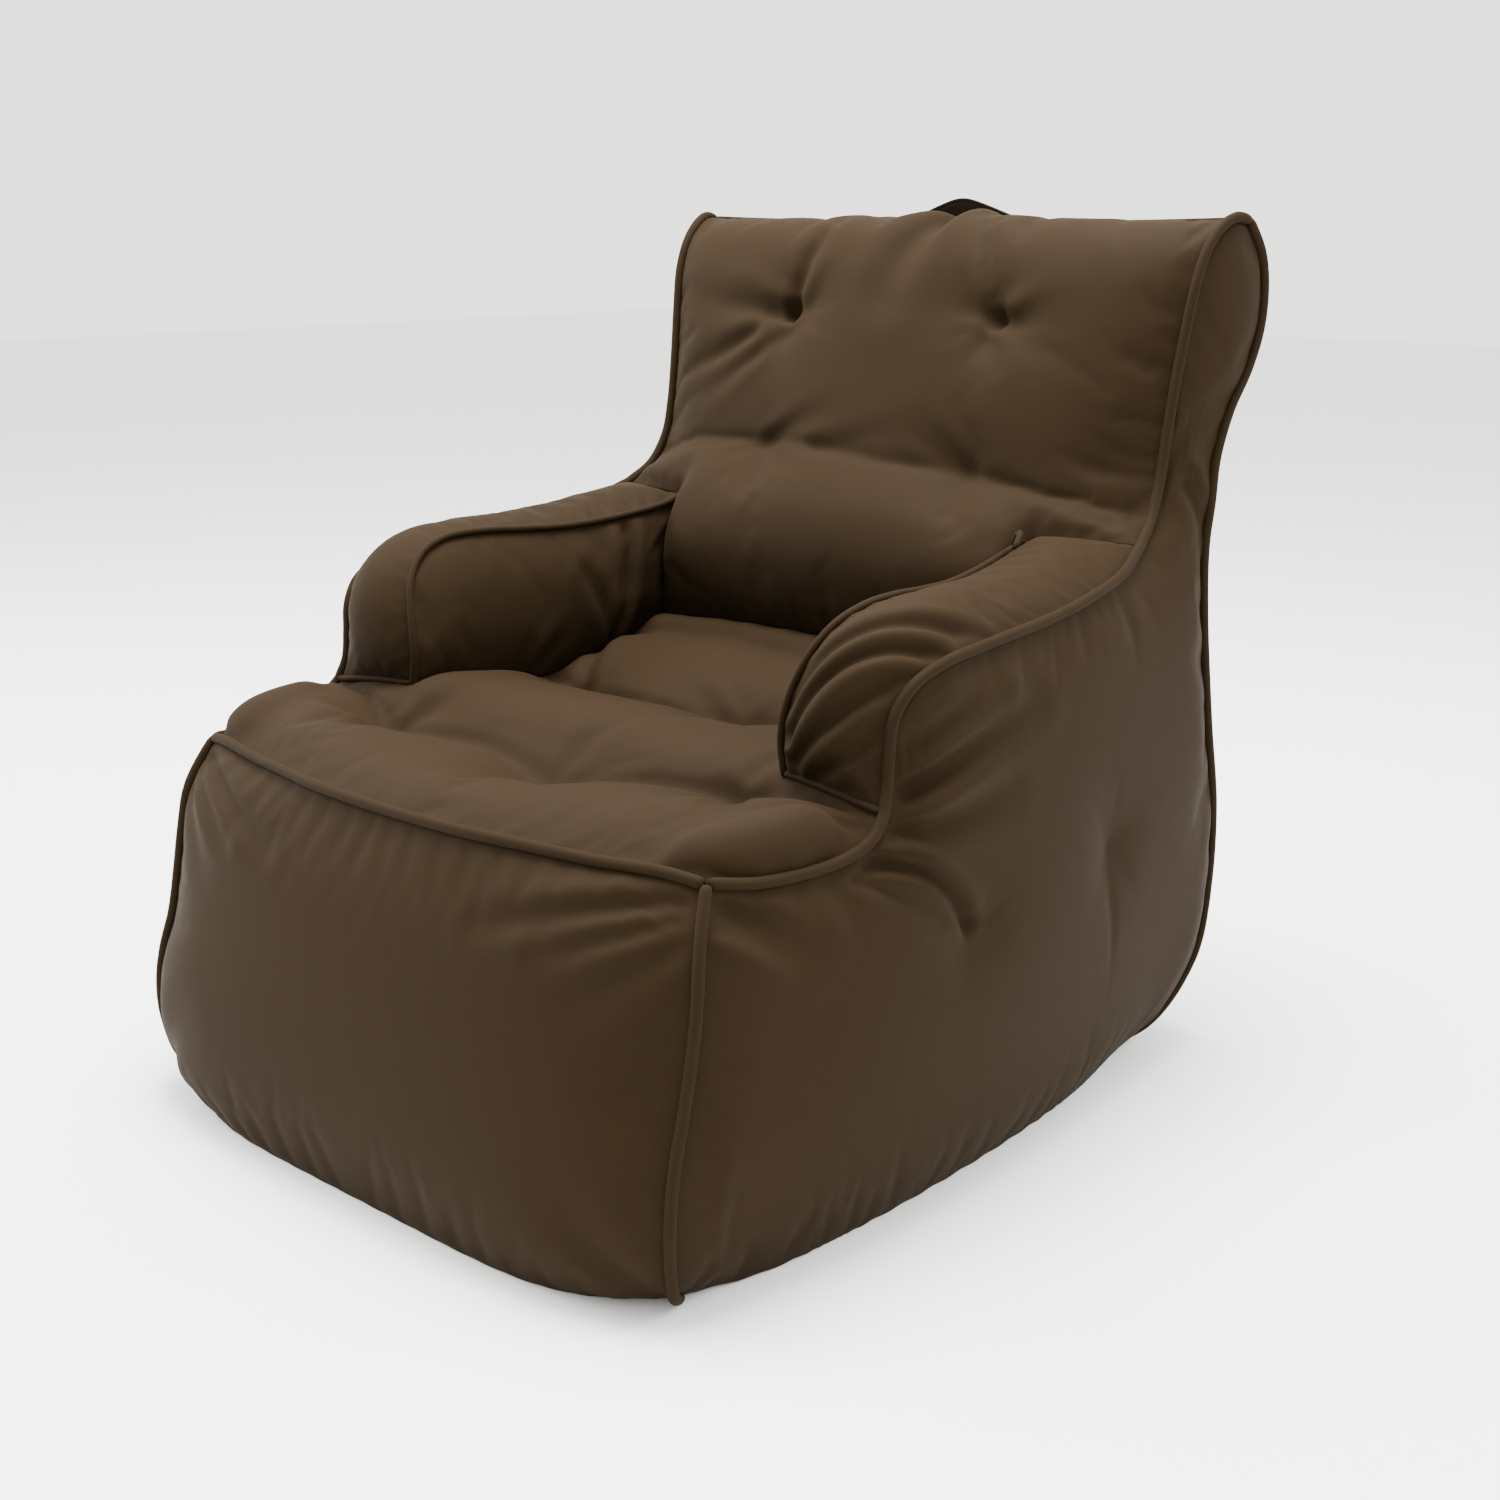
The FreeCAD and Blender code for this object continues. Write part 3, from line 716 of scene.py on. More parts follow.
class Finishes:
    """All the chair's materials, by name."""

    def __init__(self) -> None:
        """Builds each finish once."""
        cloths = [
            ClothFinish("cover_cloth", (0.0112, 0.0065, 0.0027), (0.0150, 0.0089, 0.0040)),
            ClothFinish("piping_cloth", (0.0105, 0.0061, 0.0025), (0.0141, 0.0084, 0.0038)),
            ClothFinish("handle_webbing", (0.0062, 0.0038, 0.0019), (0.0092, 0.0057, 0.0030), Weave.WEBBING, 0.8),
            ClothFinish("liner_cloth", (0.62, 0.60, 0.56), (0.76, 0.74, 0.70), Weave.PLAIN, 0.85),
            ClothFinish("zip_tape", (0.0150, 0.0092, 0.0045), (0.0210, 0.0135, 0.0072), Weave.WEBBING, 0.85),
        ]
        solids = [
            SolidFinish("bead_fill", (0.70, 0.70, 0.70), (0.92, 0.92, 0.92), 0.75, 0.0, 260.0, 0.003),
            SolidFinish("tie_cord", (0.04, 0.03, 0.022), (0.07, 0.055, 0.04), 0.8, 0.0, 700.0, 0.0006),
            SolidFinish("zip_coil", (0.035, 0.027, 0.02), (0.055, 0.042, 0.032), 0.42),
            SolidFinish("zip_metal", (0.04, 0.032, 0.026), (0.06, 0.05, 0.042), 0.36, 0.6),
        ]
        self.by_slot = {finish.name: finish.material() for finish in [*cloths, *solids]}

    def dress(self, piece: bpy.types.Object, slot: str) -> None:
        """Gives a new piece its material."""
        piece.data.materials.clear()
        piece.data.materials.append(self.by_slot[slot])


# ---- seams of the cover

@dataclass
class Seams:
    """Every seam line of the cover, on the right side and in the middle."""

    columns_inner: int = 58
    columns_arm: int = 22
    columns_wide: int = 92
    front_rows: int = 46
    apron_rows: int = 28
    seat_rows: int = 46
    lumbar_rows: int = 20
    back_rows: int = 62
    rear_rows: int = 108
    base_rows: int = 96
    arm_rows: int = 100
    side_columns: int = 150
    squareness: float = 5.8
    arm_edge: float = 0.243
    arm_end: float = 0.349
    corner: Points = mm((328, -372, 4), (348, -399, 26), (357, -411, 73), (359, -411, 110), (358, -405, 143),
        (356, -393, 180), (356, -383, 226), (355, -376, 265), (351, -369, 303), (344, -358, 329), (336, -345, 352))
    seat_side: Points = mm((336, -345, 352), (352, -310, 347), (364, -262, 346), (371, -214, 350), (373, -184, 361),
        (370, -166, 377))
    arm_outer: Points = mm((370, -166, 377), (366, -157, 400), (365, -154, 430), (367, -150, 458), (372, -134, 480),
        (377, -100, 494), (378, -50, 500), (378, 10, 505), (377, 60, 509), (373, 129, 518), (363, 198, 530),
        (349, 250, 549))
    back_side: Points = mm((349, 250, 549), (341, 281, 570), (336, 302, 604), (335, 312, 645), (337, 321, 701),
        (341, 330, 756), (344, 338, 795), (346, 352, 826), (349, 372, 846), (353, 391, 854), (356, 408, 851))
    rear: Points = mm((316, 322, 4), (334, 346, 22), (342, 374, 55), (350, 399, 98), (354, 408, 163), (355, 407, 253),
        (356, 383, 355), (355, 363, 476), (355, 359, 540), (356, 364, 581), (355, 371, 625), (356, 391, 672),
        (358, 418, 710), (360, 434, 750), (360, 437, 790), (359, 429, 822), (356, 408, 851))
    arm_inner: Points = mm((258, -158, 388), (254, -158, 423), (260, -155, 458), (272, -144, 493), (281, -122, 517),
        (285, -88, 529), (281, -40, 531), (274, 10, 528), (263, 70, 526), (250, 140, 531), (241, 200, 540))
    seat_edge: Points = mm((258, -158, 388), (262, -100, 374), (260, -20, 366), (256, 60, 370), (250, 130, 388),
        (243, 195, 414))
    base_side: Points = mm((328, -372, 4), (351, -300, 2), (361, -188, 1), (363, -75, 1), (358, 66, 1), (345, 192, 2),
        (316, 322, 4))
    front_middle: Points = mm((0, -444, 1), (0, -449, 6), (0, -452, 22), (0, -452, 60), (0, -449, 110),
        (0, -441, 170), (0, -430, 230), (0, -416, 290), (0, -402, 335), (0, -394, 356))
    back_middle: Points = mm((0, 205, 546), (0, 236, 600), (0, 274, 680), (0, 303, 750), (0, 327, 808), (0, 351, 844),
        (0, 380, 858), (0, 404, 854), (0, 416, 846))
    rear_middle: Points = mm((0, 352, 3), (0, 385, 10), (0, 408, 30), (0, 418.5, 60), (0, 420, 100), (0, 419.5, 160),
        (0, 420, 240), (0, 416, 350), (0, 406, 460), (0, 401, 560), (0, 412, 640), (0, 427, 710), (0, 432, 770),
        (0, 428, 815), (0, 416, 846))
    lines: dict[str, Array] = field(default_factory=dict)

    def _front_grid(self) -> Array:
        """The front panel's grid, squarer across at the floor than at its top seam."""
        shares = np.linspace(-1, 1, self.columns_wide)
        squarer = carried(self["front_middle"], self["corner"], shares, self.squareness)
        rounder = carried(self["front_middle"], self["corner"], shares)
        v = np.linspace(0, 1, self.front_rows)[:, None, None]
        grid = squarer * (1 - v) + rounder * v
        grid[-1] = resample(self["front"], self.columns_wide)
        return grid

    def __post_init__(self) -> None:
        """Works out every line at the density that the panels on both of its sides share."""
        inner, arm, lines = self.columns_inner, self.columns_arm, self.lines
        counts = {
            "back_side": self.back_rows, "back_middle": self.back_rows, "seat_edge": self.seat_rows,
            "seat_side": self.apron_rows, "corner": self.front_rows, "front_middle": self.front_rows,
            "arm_outer": self.arm_rows, "rear": self.rear_rows, "rear_middle": self.rear_rows,
            "base_side": self.base_rows,
        }
        for name, count in counts.items():
            lines[name] = smooth_line(getattr(self, name), count)
        self.inner_columns = slice(arm - 1, arm - 1 + inner)
        split = self.arm_edge / self.arm_end
        shares = np.concatenate([np.linspace(-1, -split, arm), np.linspace(-split, split, inner)[1:],
                                 np.linspace(split, 1, arm)[1:]])
        wide = carried(lines["back_middle"], lines["back_side"], shares)
        self.backrest_upper = wide
        lines["top_seam"] = wide[-1]
        lines["arm_line_inner"] = wide[0][self.inner_columns]
        lines["band_back"] = wide[0][-arm:]
        corner = tuple(lines["arm_line_inner"][-1])
        lines["arm_inner"] = smooth_line([*self.arm_inner, corner], self.arm_rows)
        lines["lumbar_side"] = smooth_line([self.seat_edge[-1], *mm((242, 196, 450), (243, 205, 500)), corner],
                                           self.lumbar_rows)
        junction = [*mm((0, 206, 417), (120, 205, 417)), self.seat_edge[-1]]
        lines["rear_junction"] = smooth_line(self._across(junction), inner)
        row = [*mm((0, -143, 362), (130, -146, 364), (215, -152, 376)), self.seat_edge[0]]
        lines["seat_row_inner"] = smooth_line(self._across(row), inner)
        foot = smooth_line([self.seat_edge[0], *mm((300, -163, 386), (340, -167, 382)), self.arm_outer[0]], arm)
        lines["arm_foot"] = foot
        lines["seat_row"] = np.concatenate([mirrored(foot)[::-1], lines["seat_row_inner"][1:], foot[1:]])
        front = [*mm((0, -394, 356), (100, -391, 356.5), (170, -380, 356), (240, -367, 355), (300, -354, 356)),
                 self.corner[-1]]
        lines["front"] = smooth_line(self._across(front), len(lines["seat_row"]))
        top = np.vstack([smooth_line(self.seat_side, 60), smooth_line(self.arm_outer, 140)[1:],
                         smooth_line(self.back_side, 110)[1:]])
        lines["side_top"] = resample(top, self.side_columns)
        self.front_grid = self._front_grid()
        shares = np.linspace(-1, 1, self.columns_wide)
        self.back_grid = carried(lines["rear_middle"], lines["rear"], shares)
        self.back_grid[-1] = resample(lines["top_seam"], self.columns_wide)

    @staticmethod
    def _across(points: Points) -> list[Sequence[float]]:
        """The points from the middle to the right, with their mirror images before them."""
        return [(-x, y, z) for x, y, z in reversed(points) if x > 0] + list(points)

    def __getitem__(self, name: str) -> Array:
        """One seam line by its name."""
        return self.lines[name]


# ---- the cover's panels

CLOTH_THICKNESS = 0.002
FLOOR_GAP = 0.0005
SEAM_CALM = 0.022  # how far from a seam the tufts and folds reach their whole depth
PRESS_CALM = 0.020  # the same, where they are pressed in after the simulation
CLOTH_FRAMES = 20
CLOTH_SETTINGS = {
    "quality": 6, "mass": 0.25, "tension_stiffness": 18.0, "compression_stiffness": 18.0,
    "shear_stiffness": 6.0, "bending_stiffness": 0.12, "tension_damping": 12.0,
    "compression_damping": 12.0, "shear_damping": 12.0, "bending_damping": 0.8, "air_damping": 2.0,
    "use_pressure": True,
}


def border(grid: Array) -> list[Array]:
    """The four edges of a grid."""
    return [grid[0], grid[-1], grid[:, 0], grid[:, -1]]


def with_mirrors(*lines: Array) -> list[Array]:
    """The lines, each followed by its mirror image."""
    return [each for line in lines for each in (line, mirrored(line))]


@dataclass
class Panel:
    """One panel of the cover, as a grid or as two grids that share a row.

    Attributes:
        name: the piece's name.
        node: the CAD node that it stands for.
        grids: its grids, as rows by columns by 3.
        outward: a direction away from the chair.
        seams: the seam lines all round it.
        puff: how far its middle stands out.
        reach: how far from a seam the cloth has risen by its whole puff.
        details: its tufts and folds.
        pressure: the pressure of the filling in the cloth simulation.
        growth: how much cloth is spare, as a share of its length.
        cap: how far the simulation may move a point.
        fill: how full it is, from 0, slack, to 1, tight; not used.
        hold: names further points that the simulation holds.
        join: the columns of the first grid's last row, and of the second grid's first row, that
            are one and the same row.
        crease: how much of the folds is pressed in again after the simulation.
        tuft_share: how much of that the tufts get.
    """

    name: str
    node: str
    grids: list[Array]
    outward: tuple[float, float, float]
    seams: Sequence[Array]
    puff: float
    reach: float = 0.07
    details: Sequence[Detail] = ()
    pressure: float = 4.0
    growth: float = 0.012
    cap: float = 0.010
    fill: float = 0.75
    hold: Callable[[Array], Array] | None = None
    join: tuple[slice, slice] = (slice(None), slice(None))
    crease: float = 0.8
    tuft_share: float = 0.25

    def shaped(self) -> list[Array]:
        """The grids after the filling's puff, the tufts and the folds, with their seams kept.

        At a distance d from the nearest seam the filling lifts the cloth by puff times
        1 - (1 - d / reach) ^ 2, up to the reach.
        """
        result = []
        for grid in self.grids:
            normals = grid_normals(grid, np.array(self.outward))
            distance = distance_to(grid, self.seams)
            move = self.puff * (1 - (1 - np.clip(distance / self.reach, 0, 1)) ** 2)
            pull = sum((detail.pull(grid, normals) for detail in self.details), np.zeros(move.shape))
            move = move + pull * ease(0.0, SEAM_CALM, distance)
            result.append(grid + normals * move[..., None])
        if len(result) == 2:
            shared = (result[0][-1, self.join[0]] + result[1][0, self.join[1]]) / 2
            result[0][-1, self.join[0]] = shared
            result[1][0, self.join[1]] = shared
        return result

    def build(self) -> bpy.types.Object:
        """Makes the panel, runs its cloth simulation and gives it its thickness.

        Returns:
            The finished piece, not yet dressed.
        """
        vertices, faces, uv, first = [], [], [], 0
        for grid in self.shaped():
            along = np.cumsum(np.linalg.norm(np.diff(grid, axis=0, prepend=grid[:1]), axis=-1), axis=0)
            across = np.cumsum(np.linalg.norm(np.diff(grid, axis=1, prepend=grid[:, :1]), axis=-1), axis=1)
            middle = grid.shape[1] // 2
            uv.append(np.stack([across - across[:, middle:middle + 1], along], axis=-1).reshape(-1, 2))
            vertices.append(grid.reshape(-1, 3))
            faces.append(grid_faces(grid, self.outward, first))
            first += len(vertices[-1])
        piece = make_object(self.name, np.vstack(vertices), np.vstack(faces), np.vstack(uv))
        if len(self.grids) > 1:
            mend(piece, merge=SAME_SEAM, turn=False)
        self._inflate(piece)
        self._press(piece)
        thicken(piece, CLOTH_THICKNESS, smooth=True)
        return piece

    def _press(self, piece: bpy.types.Object) -> None:
        """Presses the folds, and the tufts a little, into the cloth that the pressure has rounded."""
        points = vectors(piece.data.vertices)
        normals = vectors(piece.data.vertices, "normal")
        pull = np.zeros(len(points))
        for detail in self.details:
            if not isinstance(detail, Rolls):
                pull += detail.pull(points, normals) * (self.tuft_share if isinstance(detail, Tuft) else 1.0)
        move = self.crease * pull * ease(0.0, PRESS_CALM, distance_to(points[None], self.seams)[0])
        points = points + normals * move[:, None]
        points[:, 2] = np.maximum(points[:, 2], FLOOR_GAP)
        set_positions(piece, points)

    def _pins(self, piece: bpy.types.Object, points: Array) -> Array:
        """The vertices that the simulation holds: the panel's edges, its tufts and what hold names."""
        edges = np.empty(len(piece.data.edges) * 2, np.int32)
        piece.data.edges.foreach_get("vertices", edges)
        loops = np.empty(len(piece.data.loops), np.int32)
        piece.data.loops.foreach_get("edge_index", loops)
        uses = np.bincount(loops, minlength=len(piece.data.edges))
        held = np.zeros(len(points), bool)
        held[edges.reshape(-1, 2)[uses == 1].ravel()] = True
        for detail in self.details:
            if isinstance(detail, Tuft):
                held[np.argmin(np.linalg.norm(points - np.array(detail.at), axis=1))] = True
        if self.hold is not None:
            held |= self.hold(points)
        return held

    def _inflate(self, piece: bpy.types.Object) -> None:
        """Lets the cloth swell under the filling's pressure, with a little spare cloth to pucker."""
        before = vectors(piece.data.vertices)
        held = self._pins(piece, before)
        group = piece.vertex_groups.new(name="held")
        group.add(np.flatnonzero(held).tolist(), 1.0, "REPLACE")
        cloth = piece.modifiers.new("cloth", "CLOTH")
        for key, value in CLOTH_SETTINGS.items():
            setattr(cloth.settings, key, value)
        cloth.settings.vertex_group_mass = "held"
        cloth.settings.shrink_min = -self.growth
        cloth.settings.uniform_pressure_force = self.pressure
        cloth.settings.effector_weights.gravity = 0.0
        cloth.collision_settings.use_collision = False
        for number in range(1, CLOTH_FRAMES + 1):
            bpy.context.scene.frame_set(number)
        settled = piece.evaluated_get(bpy.context.evaluated_depsgraph_get())
        move = vectors(settled.to_mesh().vertices) - before
        settled.to_mesh_clear()
        piece.modifiers.remove(cloth)
        bpy.context.scene.frame_set(1)
        length = np.linalg.norm(move, axis=1, keepdims=True)
        capped = move * (self.cap * np.tanh(length / self.cap) / np.maximum(length, 1e-9))
        set_positions(piece, before + capped)
        piece.vertex_groups.clear()
        log.info("%s: cloth moved %.1f mm at most", self.name, 1000 * float(length.max()))


@dataclass
class Cover:
    """The sewn cover: eleven panels over the bead-filled bags."""

    seams: Seams
    finishes: Finishes
    zip_level: float = 0.115
    zip_reach: float = 0.290
    zip_half_height: float = 0.026
    patch_levels: tuple[float, float] = (0.755, 0.815)
    patch_reach: float = 0.125
    side_rows: int = 84
    belly: float = 0.010

    def front(self) -> Panel:
        """The front panel, from the floor to the welt under the seat."""
        grid = self.seams.front_grid
        details = both_sides([
            Fold(mm((332, -362, 343), (269, -390, 330), (205, -405, 310), (147, -412, 292)), 0.012, 0.006, 2.2),
            Fold(mm((338, -366, 334), (300, -386, 318), (221, -405, 286)), 0.010, 0.006, 2.2),
            Fold(mm((342, -370, 318), (300, -394, 285), (260, -405, 250)), 0.004, 0.010, 2.0),
            Fold(mm((330, -395, 30), (290, -415, 70), (260, -425, 100)), 0.004, 0.012, 2.0),
        ])
        return Panel("front_cover", "front_panel", [grid], (0, -1, 0), border(grid), 0.006, 0.05, details)

    def seat(self) -> Panel:
        """The seat panel: the apron in front of the arms, and the seat between them."""
        seams = self.seams
        side = seams["seat_side"]
        apron = coons(seams["front"], seams["seat_row"], mirrored(side), side)
        edge = seams["seat_edge"]
        inner = coons(seams["seat_row_inner"], seams["rear_junction"], mirrored(edge), edge)
        rolls = Rolls([
            mm((-336, -345), (-204, -373), (0, -394), (204, -373), (336, -345)),
            mm((-380, -150), (-300, -178), (-225, -213), (-100, -200), (20, -218), (120, -188), (230, -180),
               (300, -170), (380, -160)),
            mm((-270, 30), (-200, 15), (-80, 8), (30, 25), (120, 45), (220, 50), (270, 50)),
            mm((-270, 135), (-200, 150), (-100, 160), (0, 152), (100, 150), (270, 140)),
            mm((-270, 205), (270, 205)),
        ], (0.022, 0.023, 0.021, 0.015), sink=0.009)
        details = [
            rolls,
            Tuft((-0.225, -0.213, 0.345), 0.014, 0.050), Tuft((0.020, -0.218, 0.345), 0.015, 0.050),
            Tuft((0.230, -0.180, 0.345), 0.014, 0.050),
            Tuft((-0.190, 0.012, 0.345), 0.015, 0.050), Tuft((0.030, 0.025, 0.345), 0.015, 0.050),
            Tuft((0.200, 0.048, 0.345), 0.012, 0.045),
            Fold(mm((-190, 12, 345), (-215, 60, 350), (-250, 125, 372)), 0.007, 0.010, 1.0, 0.8),
            Fold(mm((355, -170, 372), (300, -190, 360), (235, -215, 355)), 0.005, 0.008, 1.6),
            Fold(mm((362, -185, 366), (320, -222, 360), (270, -270, 362)), 0.005, 0.008, 1.8),
            Fold(mm((-350, -172, 372), (-300, -192, 360), (-250, -205, 350)), 0.007, 0.010, 1.0),
            *both_sides([Fold(mm((312, -330, 360), (334, -288, 360), (346, -235, 362)),
                              -0.011, 0.022, 1.0, 0.9, 0.0)]),
        ]
        for row, depth in zip(rolls.rows[1:4], (0.004, 0.004, 0.003)):
            details.append(Fold([(x, y, 0.364) for x, y in row], depth, 0.007, 1.0, 1.0, 0.2))
        edges = [seams["front"], seams["rear_junction"], *with_mirrors(side, seams["arm_foot"], edge)]
        return Panel("seat_cover", "seat_panel", [apron, inner], (0, 0, 1), edges, 0.014, 0.05, details,
                     growth=0.018, cap=0.009, join=(seams.inner_columns, slice(None)))

    def backrest(self) -> Panel:
        """The backrest panel: the lumbar part between the arms, and the part above them."""
        seams = self.seams
        side = seams["lumbar_side"]
        lumbar = coons(seams["rear_junction"], seams["arm_line_inner"], mirrored(side), side)
        rolls = Rolls([
            mm((-360, 415), (360, 415)),
            mm((-360, 578), (-303, 590), (-255, 604), (-125, 614), (0, 607), (150, 600), (242, 586), (324, 572),
               (360, 565)),
            mm((-360, 862), (360, 862)),
        ], (0.024, 0.013), axis=2, sink=0.009, blunt=2.4)
        details = [
            rolls,
            Tuft((-0.140, 0.312, 0.749), 0.017, 0.050, 4), Tuft((0.136, 0.312, 0.751), 0.017, 0.050, 4),
            Tuft((-0.125, 0.247, 0.614), 0.003, 0.045, 4), Tuft((0.150, 0.249, 0.600), 0.003, 0.045, 4),
            Fold(mm((-140, 312, 750), (-131, 330, 788), (-118, 360, 828)), 0.008, 0.008, 1.8, 0.2),
            Fold(mm((-140, 312, 749), (-215, 315, 755), (-290, 318, 762)), 0.005, 0.010, 2.0),
            Fold(mm((-185, 300, 725), (-230, 290, 705), (-285, 285, 690)), 0.004, 0.010, 1.6),
            Fold(mm((-170, 295, 700), (-215, 282, 675), (-270, 275, 655)), 0.003, 0.010, 1.6),
            Fold(mm((136, 312, 752), (120, 330, 793), (97, 360, 836)), 0.006, 0.008, 1.5, 0.2),
            Fold(mm((136, 312, 751), (185, 312, 752)), 0.004, 0.008, 1.6),
            Fold(mm((34, 395, 866), (20, 360, 846), (6, 328, 806), (0, 312, 770)), 0.012, 0.016, 1.6),
            Fold(mm((-125, 247, 614), (-85, 256, 632), (-45, 262, 650)), 0.0025, 0.009, 1.6),
            Fold(mm((-50, 245, 612), (10, 250, 622), (60, 256, 636)), 0.002, 0.009, 1.6),
            Fold(mm((150, 249, 600), (110, 254, 622), (80, 262, 644)), 0.0025, 0.009, 1.6),
            Fold(mm((240, 225, 500), (190, 205, 490), (140, 200, 485)), 0.004, 0.010, 1.8),
            Fold([(x, 0.250, z) for x, z in rolls.rows[1]], 0.0010, 0.008, 1.0, 1.0, 0.2),
        ]
        edges = [seams["rear_junction"], seams["top_seam"],
                 *with_mirrors(side, seams["band_back"], seams["back_side"])]
        return Panel("backrest_cover", "backrest_panel", [lumbar, seams.backrest_upper], (0, -1, 0.3), edges,
                     0.010, 0.06, details, growth=0.015, cap=0.008, join=(slice(None), seams.inner_columns))

    def back(self) -> Panel:
        """The back panel, from the floor to the seam behind the top edge."""
        grid = self.seams.back_grid
        details = both_sides([
            Fold(mm((345, 385, 600), (290, 392, 575), (220, 398, 560)), 0.005, 0.011, 2.0),
            Fold(mm((345, 375, 545), (285, 388, 540), (210, 398, 530)), 0.004, 0.011, 2.0),
            Fold(mm((335, 400, 60), (300, 412, 200), (260, 416, 300)), 0.004, 0.014, 2.0),
        ])

        def sewn_on(points: Array) -> Array:
            """The cloth under the zip and the handle's patches, which those hold flat."""
            x, z = np.abs(points[:, 0]), points[:, 2]
            low, high = self.patch_levels
            zip_zone = (np.abs(z - self.zip_level) < self.zip_half_height) & (x < self.zip_reach)
            return zip_zone | ((z > low) & (z < high) & (x < self.patch_reach))

        return Panel("back_cover", "back_panel", [grid], (0, 1, 0), border(grid), 0.0, 0.05, details,
                     growth=0.008, cap=0.006, hold=sewn_on)

    @staticmethod
    def _paired(sign: int, name: str, node: str, grid: Array, details: Sequence[Detail], **values: Any) -> Panel:
        """One panel of a pair: the right one as it is given, or its mirror image on the left.

        Args:
            sign: 1 for the right side, -1 for the left.
            name: the piece's name, without its side.
            node: the CAD node's name, without its side.
            grid: the right panel's grid.
            details: the right panel's tufts and folds.
            **values: the panel's other values.

        Returns:
            The panel.
        """
        side = "right" if sign > 0 else "left"
        if sign < 0:
            grid = mirrored(grid)
            details = [other_side(detail) for detail in details]
        return Panel(f"{side}_{name}", f"{side}_{node}", [grid], seams=border(grid), details=details, **values)

    def _below(self, top: Array) -> Array:
        """The floor line's points, each nearly under its point of the side's top line.

        A point's share along the floor line is three tenths its share of the way back, and for the
        rest its share of the top line's length, so upright runs of the top line spread out.
        """
        back = (top[:, 1] - top[0, 1]) / (top[-1, 1] - top[0, 1])
        share = 0.3 * np.maximum.accumulate(back) + 0.7 * np.linspace(0, 1, len(top))
        line = resample(self.seams["base_side"], 400)
        at = np.linspace(0, 1, len(line))
        return np.stack([np.interp(share, at, line[:, axis]) for axis in range(3)], axis=1)

    def side(self, sign: int) -> Panel:
        """One side panel, from the corner piping to the rear welt."""
        seams = self.seams
        rows = self.side_rows
        top = seams["side_top"]
        front = resample(seams["corner"], rows)
        rear = resample(seams["rear"], rows)
        grid = evened(coons(self._below(top), top, front, rear))
        v = np.linspace(0, 1, rows)[:, None]
        u = np.linspace(0, 1, len(top))[None]
        grid[..., 0] += (4 * u * (1 - u)) ** 0.6 * np.sin(math.pi * v ** 0.75) ** 0.8 * self.belly
        details = [
            Tuft((0.385, -0.080, 0.262), 0.007, 0.045, 3),
            Tuft((0.383, 0.152, 0.278), 0.006, 0.040, 3),
            Tuft((0.372, 0.370, 0.280), 0.005, 0.040, 3),
            Fold(mm((352, -345, 338), (370, -300, 312), (380, -270, 292)), 0.011, 0.008, 2.0),
            Fold(mm((352, -352, 325), (370, -310, 298), (378, -285, 280)), 0.007, 0.007, 1.8),
            Fold(mm((378, -200, 345), (385, -139, 325), (385, -100, 291), (385, -80, 264)), 0.009, 0.007, 1.2, 0.6),
            Fold(mm((378, -215, 335), (385, -165, 308), (385, -125, 280)), 0.005, 0.006, 1.6),
            Fold(mm((372, -158, 388), (385, -81, 418), (385, 12, 444)), 0.011, 0.0095, 1.8),
            Fold(mm((372, -150, 424), (385, -95, 448), (385, -40, 460)), 0.009, 0.0085, 1.7),
            Fold(mm((374, -165, 362), (385, -110, 364), (388, -30, 372)), 0.007, 0.0095, 1.9),
            Fold(mm((352, 330, 600), (352, 350, 560), (354, 352, 500)), 0.004, 0.010, 1.6),
        ]
        return self._paired(sign, "side_cover", "side_panel", grid, details, outward=(sign, 0, 0), puff=0.012,
                            reach=0.05, growth=0.012, cap=0.006)

    def arm_band(self, sign: int) -> Panel:
        """The strip of cloth over the front and the top of one arm."""
        seams = self.seams
        grid = coons(seams["arm_foot"], seams["band_back"], seams["arm_inner"], seams["arm_outer"])
        details = [
            Fold(mm((270, 55, 548), (285, 58, 552), (315, 64, 545)), 0.004, 0.006, 1.5),
            Fold(mm((262, 90, 545), (280, 96, 552), (310, 104, 548)), 0.004, 0.006, 1.5),
            Fold(mm((256, 125, 545), (275, 131, 552), (310, 140, 550)), 0.004, 0.006, 1.5),
            Fold(mm((250, 158, 545), (268, 164, 552), (300, 172, 552)), 0.004, 0.006, 1.5),
        ]
        if sign > 0:
            details += [
                Fold(mm((264, -160, 452), (300, -150, 502), (345, -105, 522), (374, -45, 508)), 0.006, 0.008, 1.2,
                     0.7),
                Fold(mm((268, -165, 425), (305, -162, 475), (345, -135, 503), (374, -95, 500)), 0.007, 0.007, 1.2,
                     0.7),
                Fold(mm((275, -166, 405), (315, -170, 445), (350, -156, 476), (370, -138, 486)), 0.006, 0.008, 1.2,
                     0.7),
                Fold(mm((295, -168, 394), (335, -170, 424), (364, -158, 452)), 0.004, 0.007, 1.2, 0.7),
                Fold(mm((285, 0, 550), (315, 10, 552), (350, 18, 535)), 0.004, 0.007, 1.5),
            ]
        return self._paired(sign, "arm_band_cover", "arm_band", grid, details, outward=(0, -0.4, 1), puff=0.022,
                            reach=0.055, growth=0.015, cap=0.005)

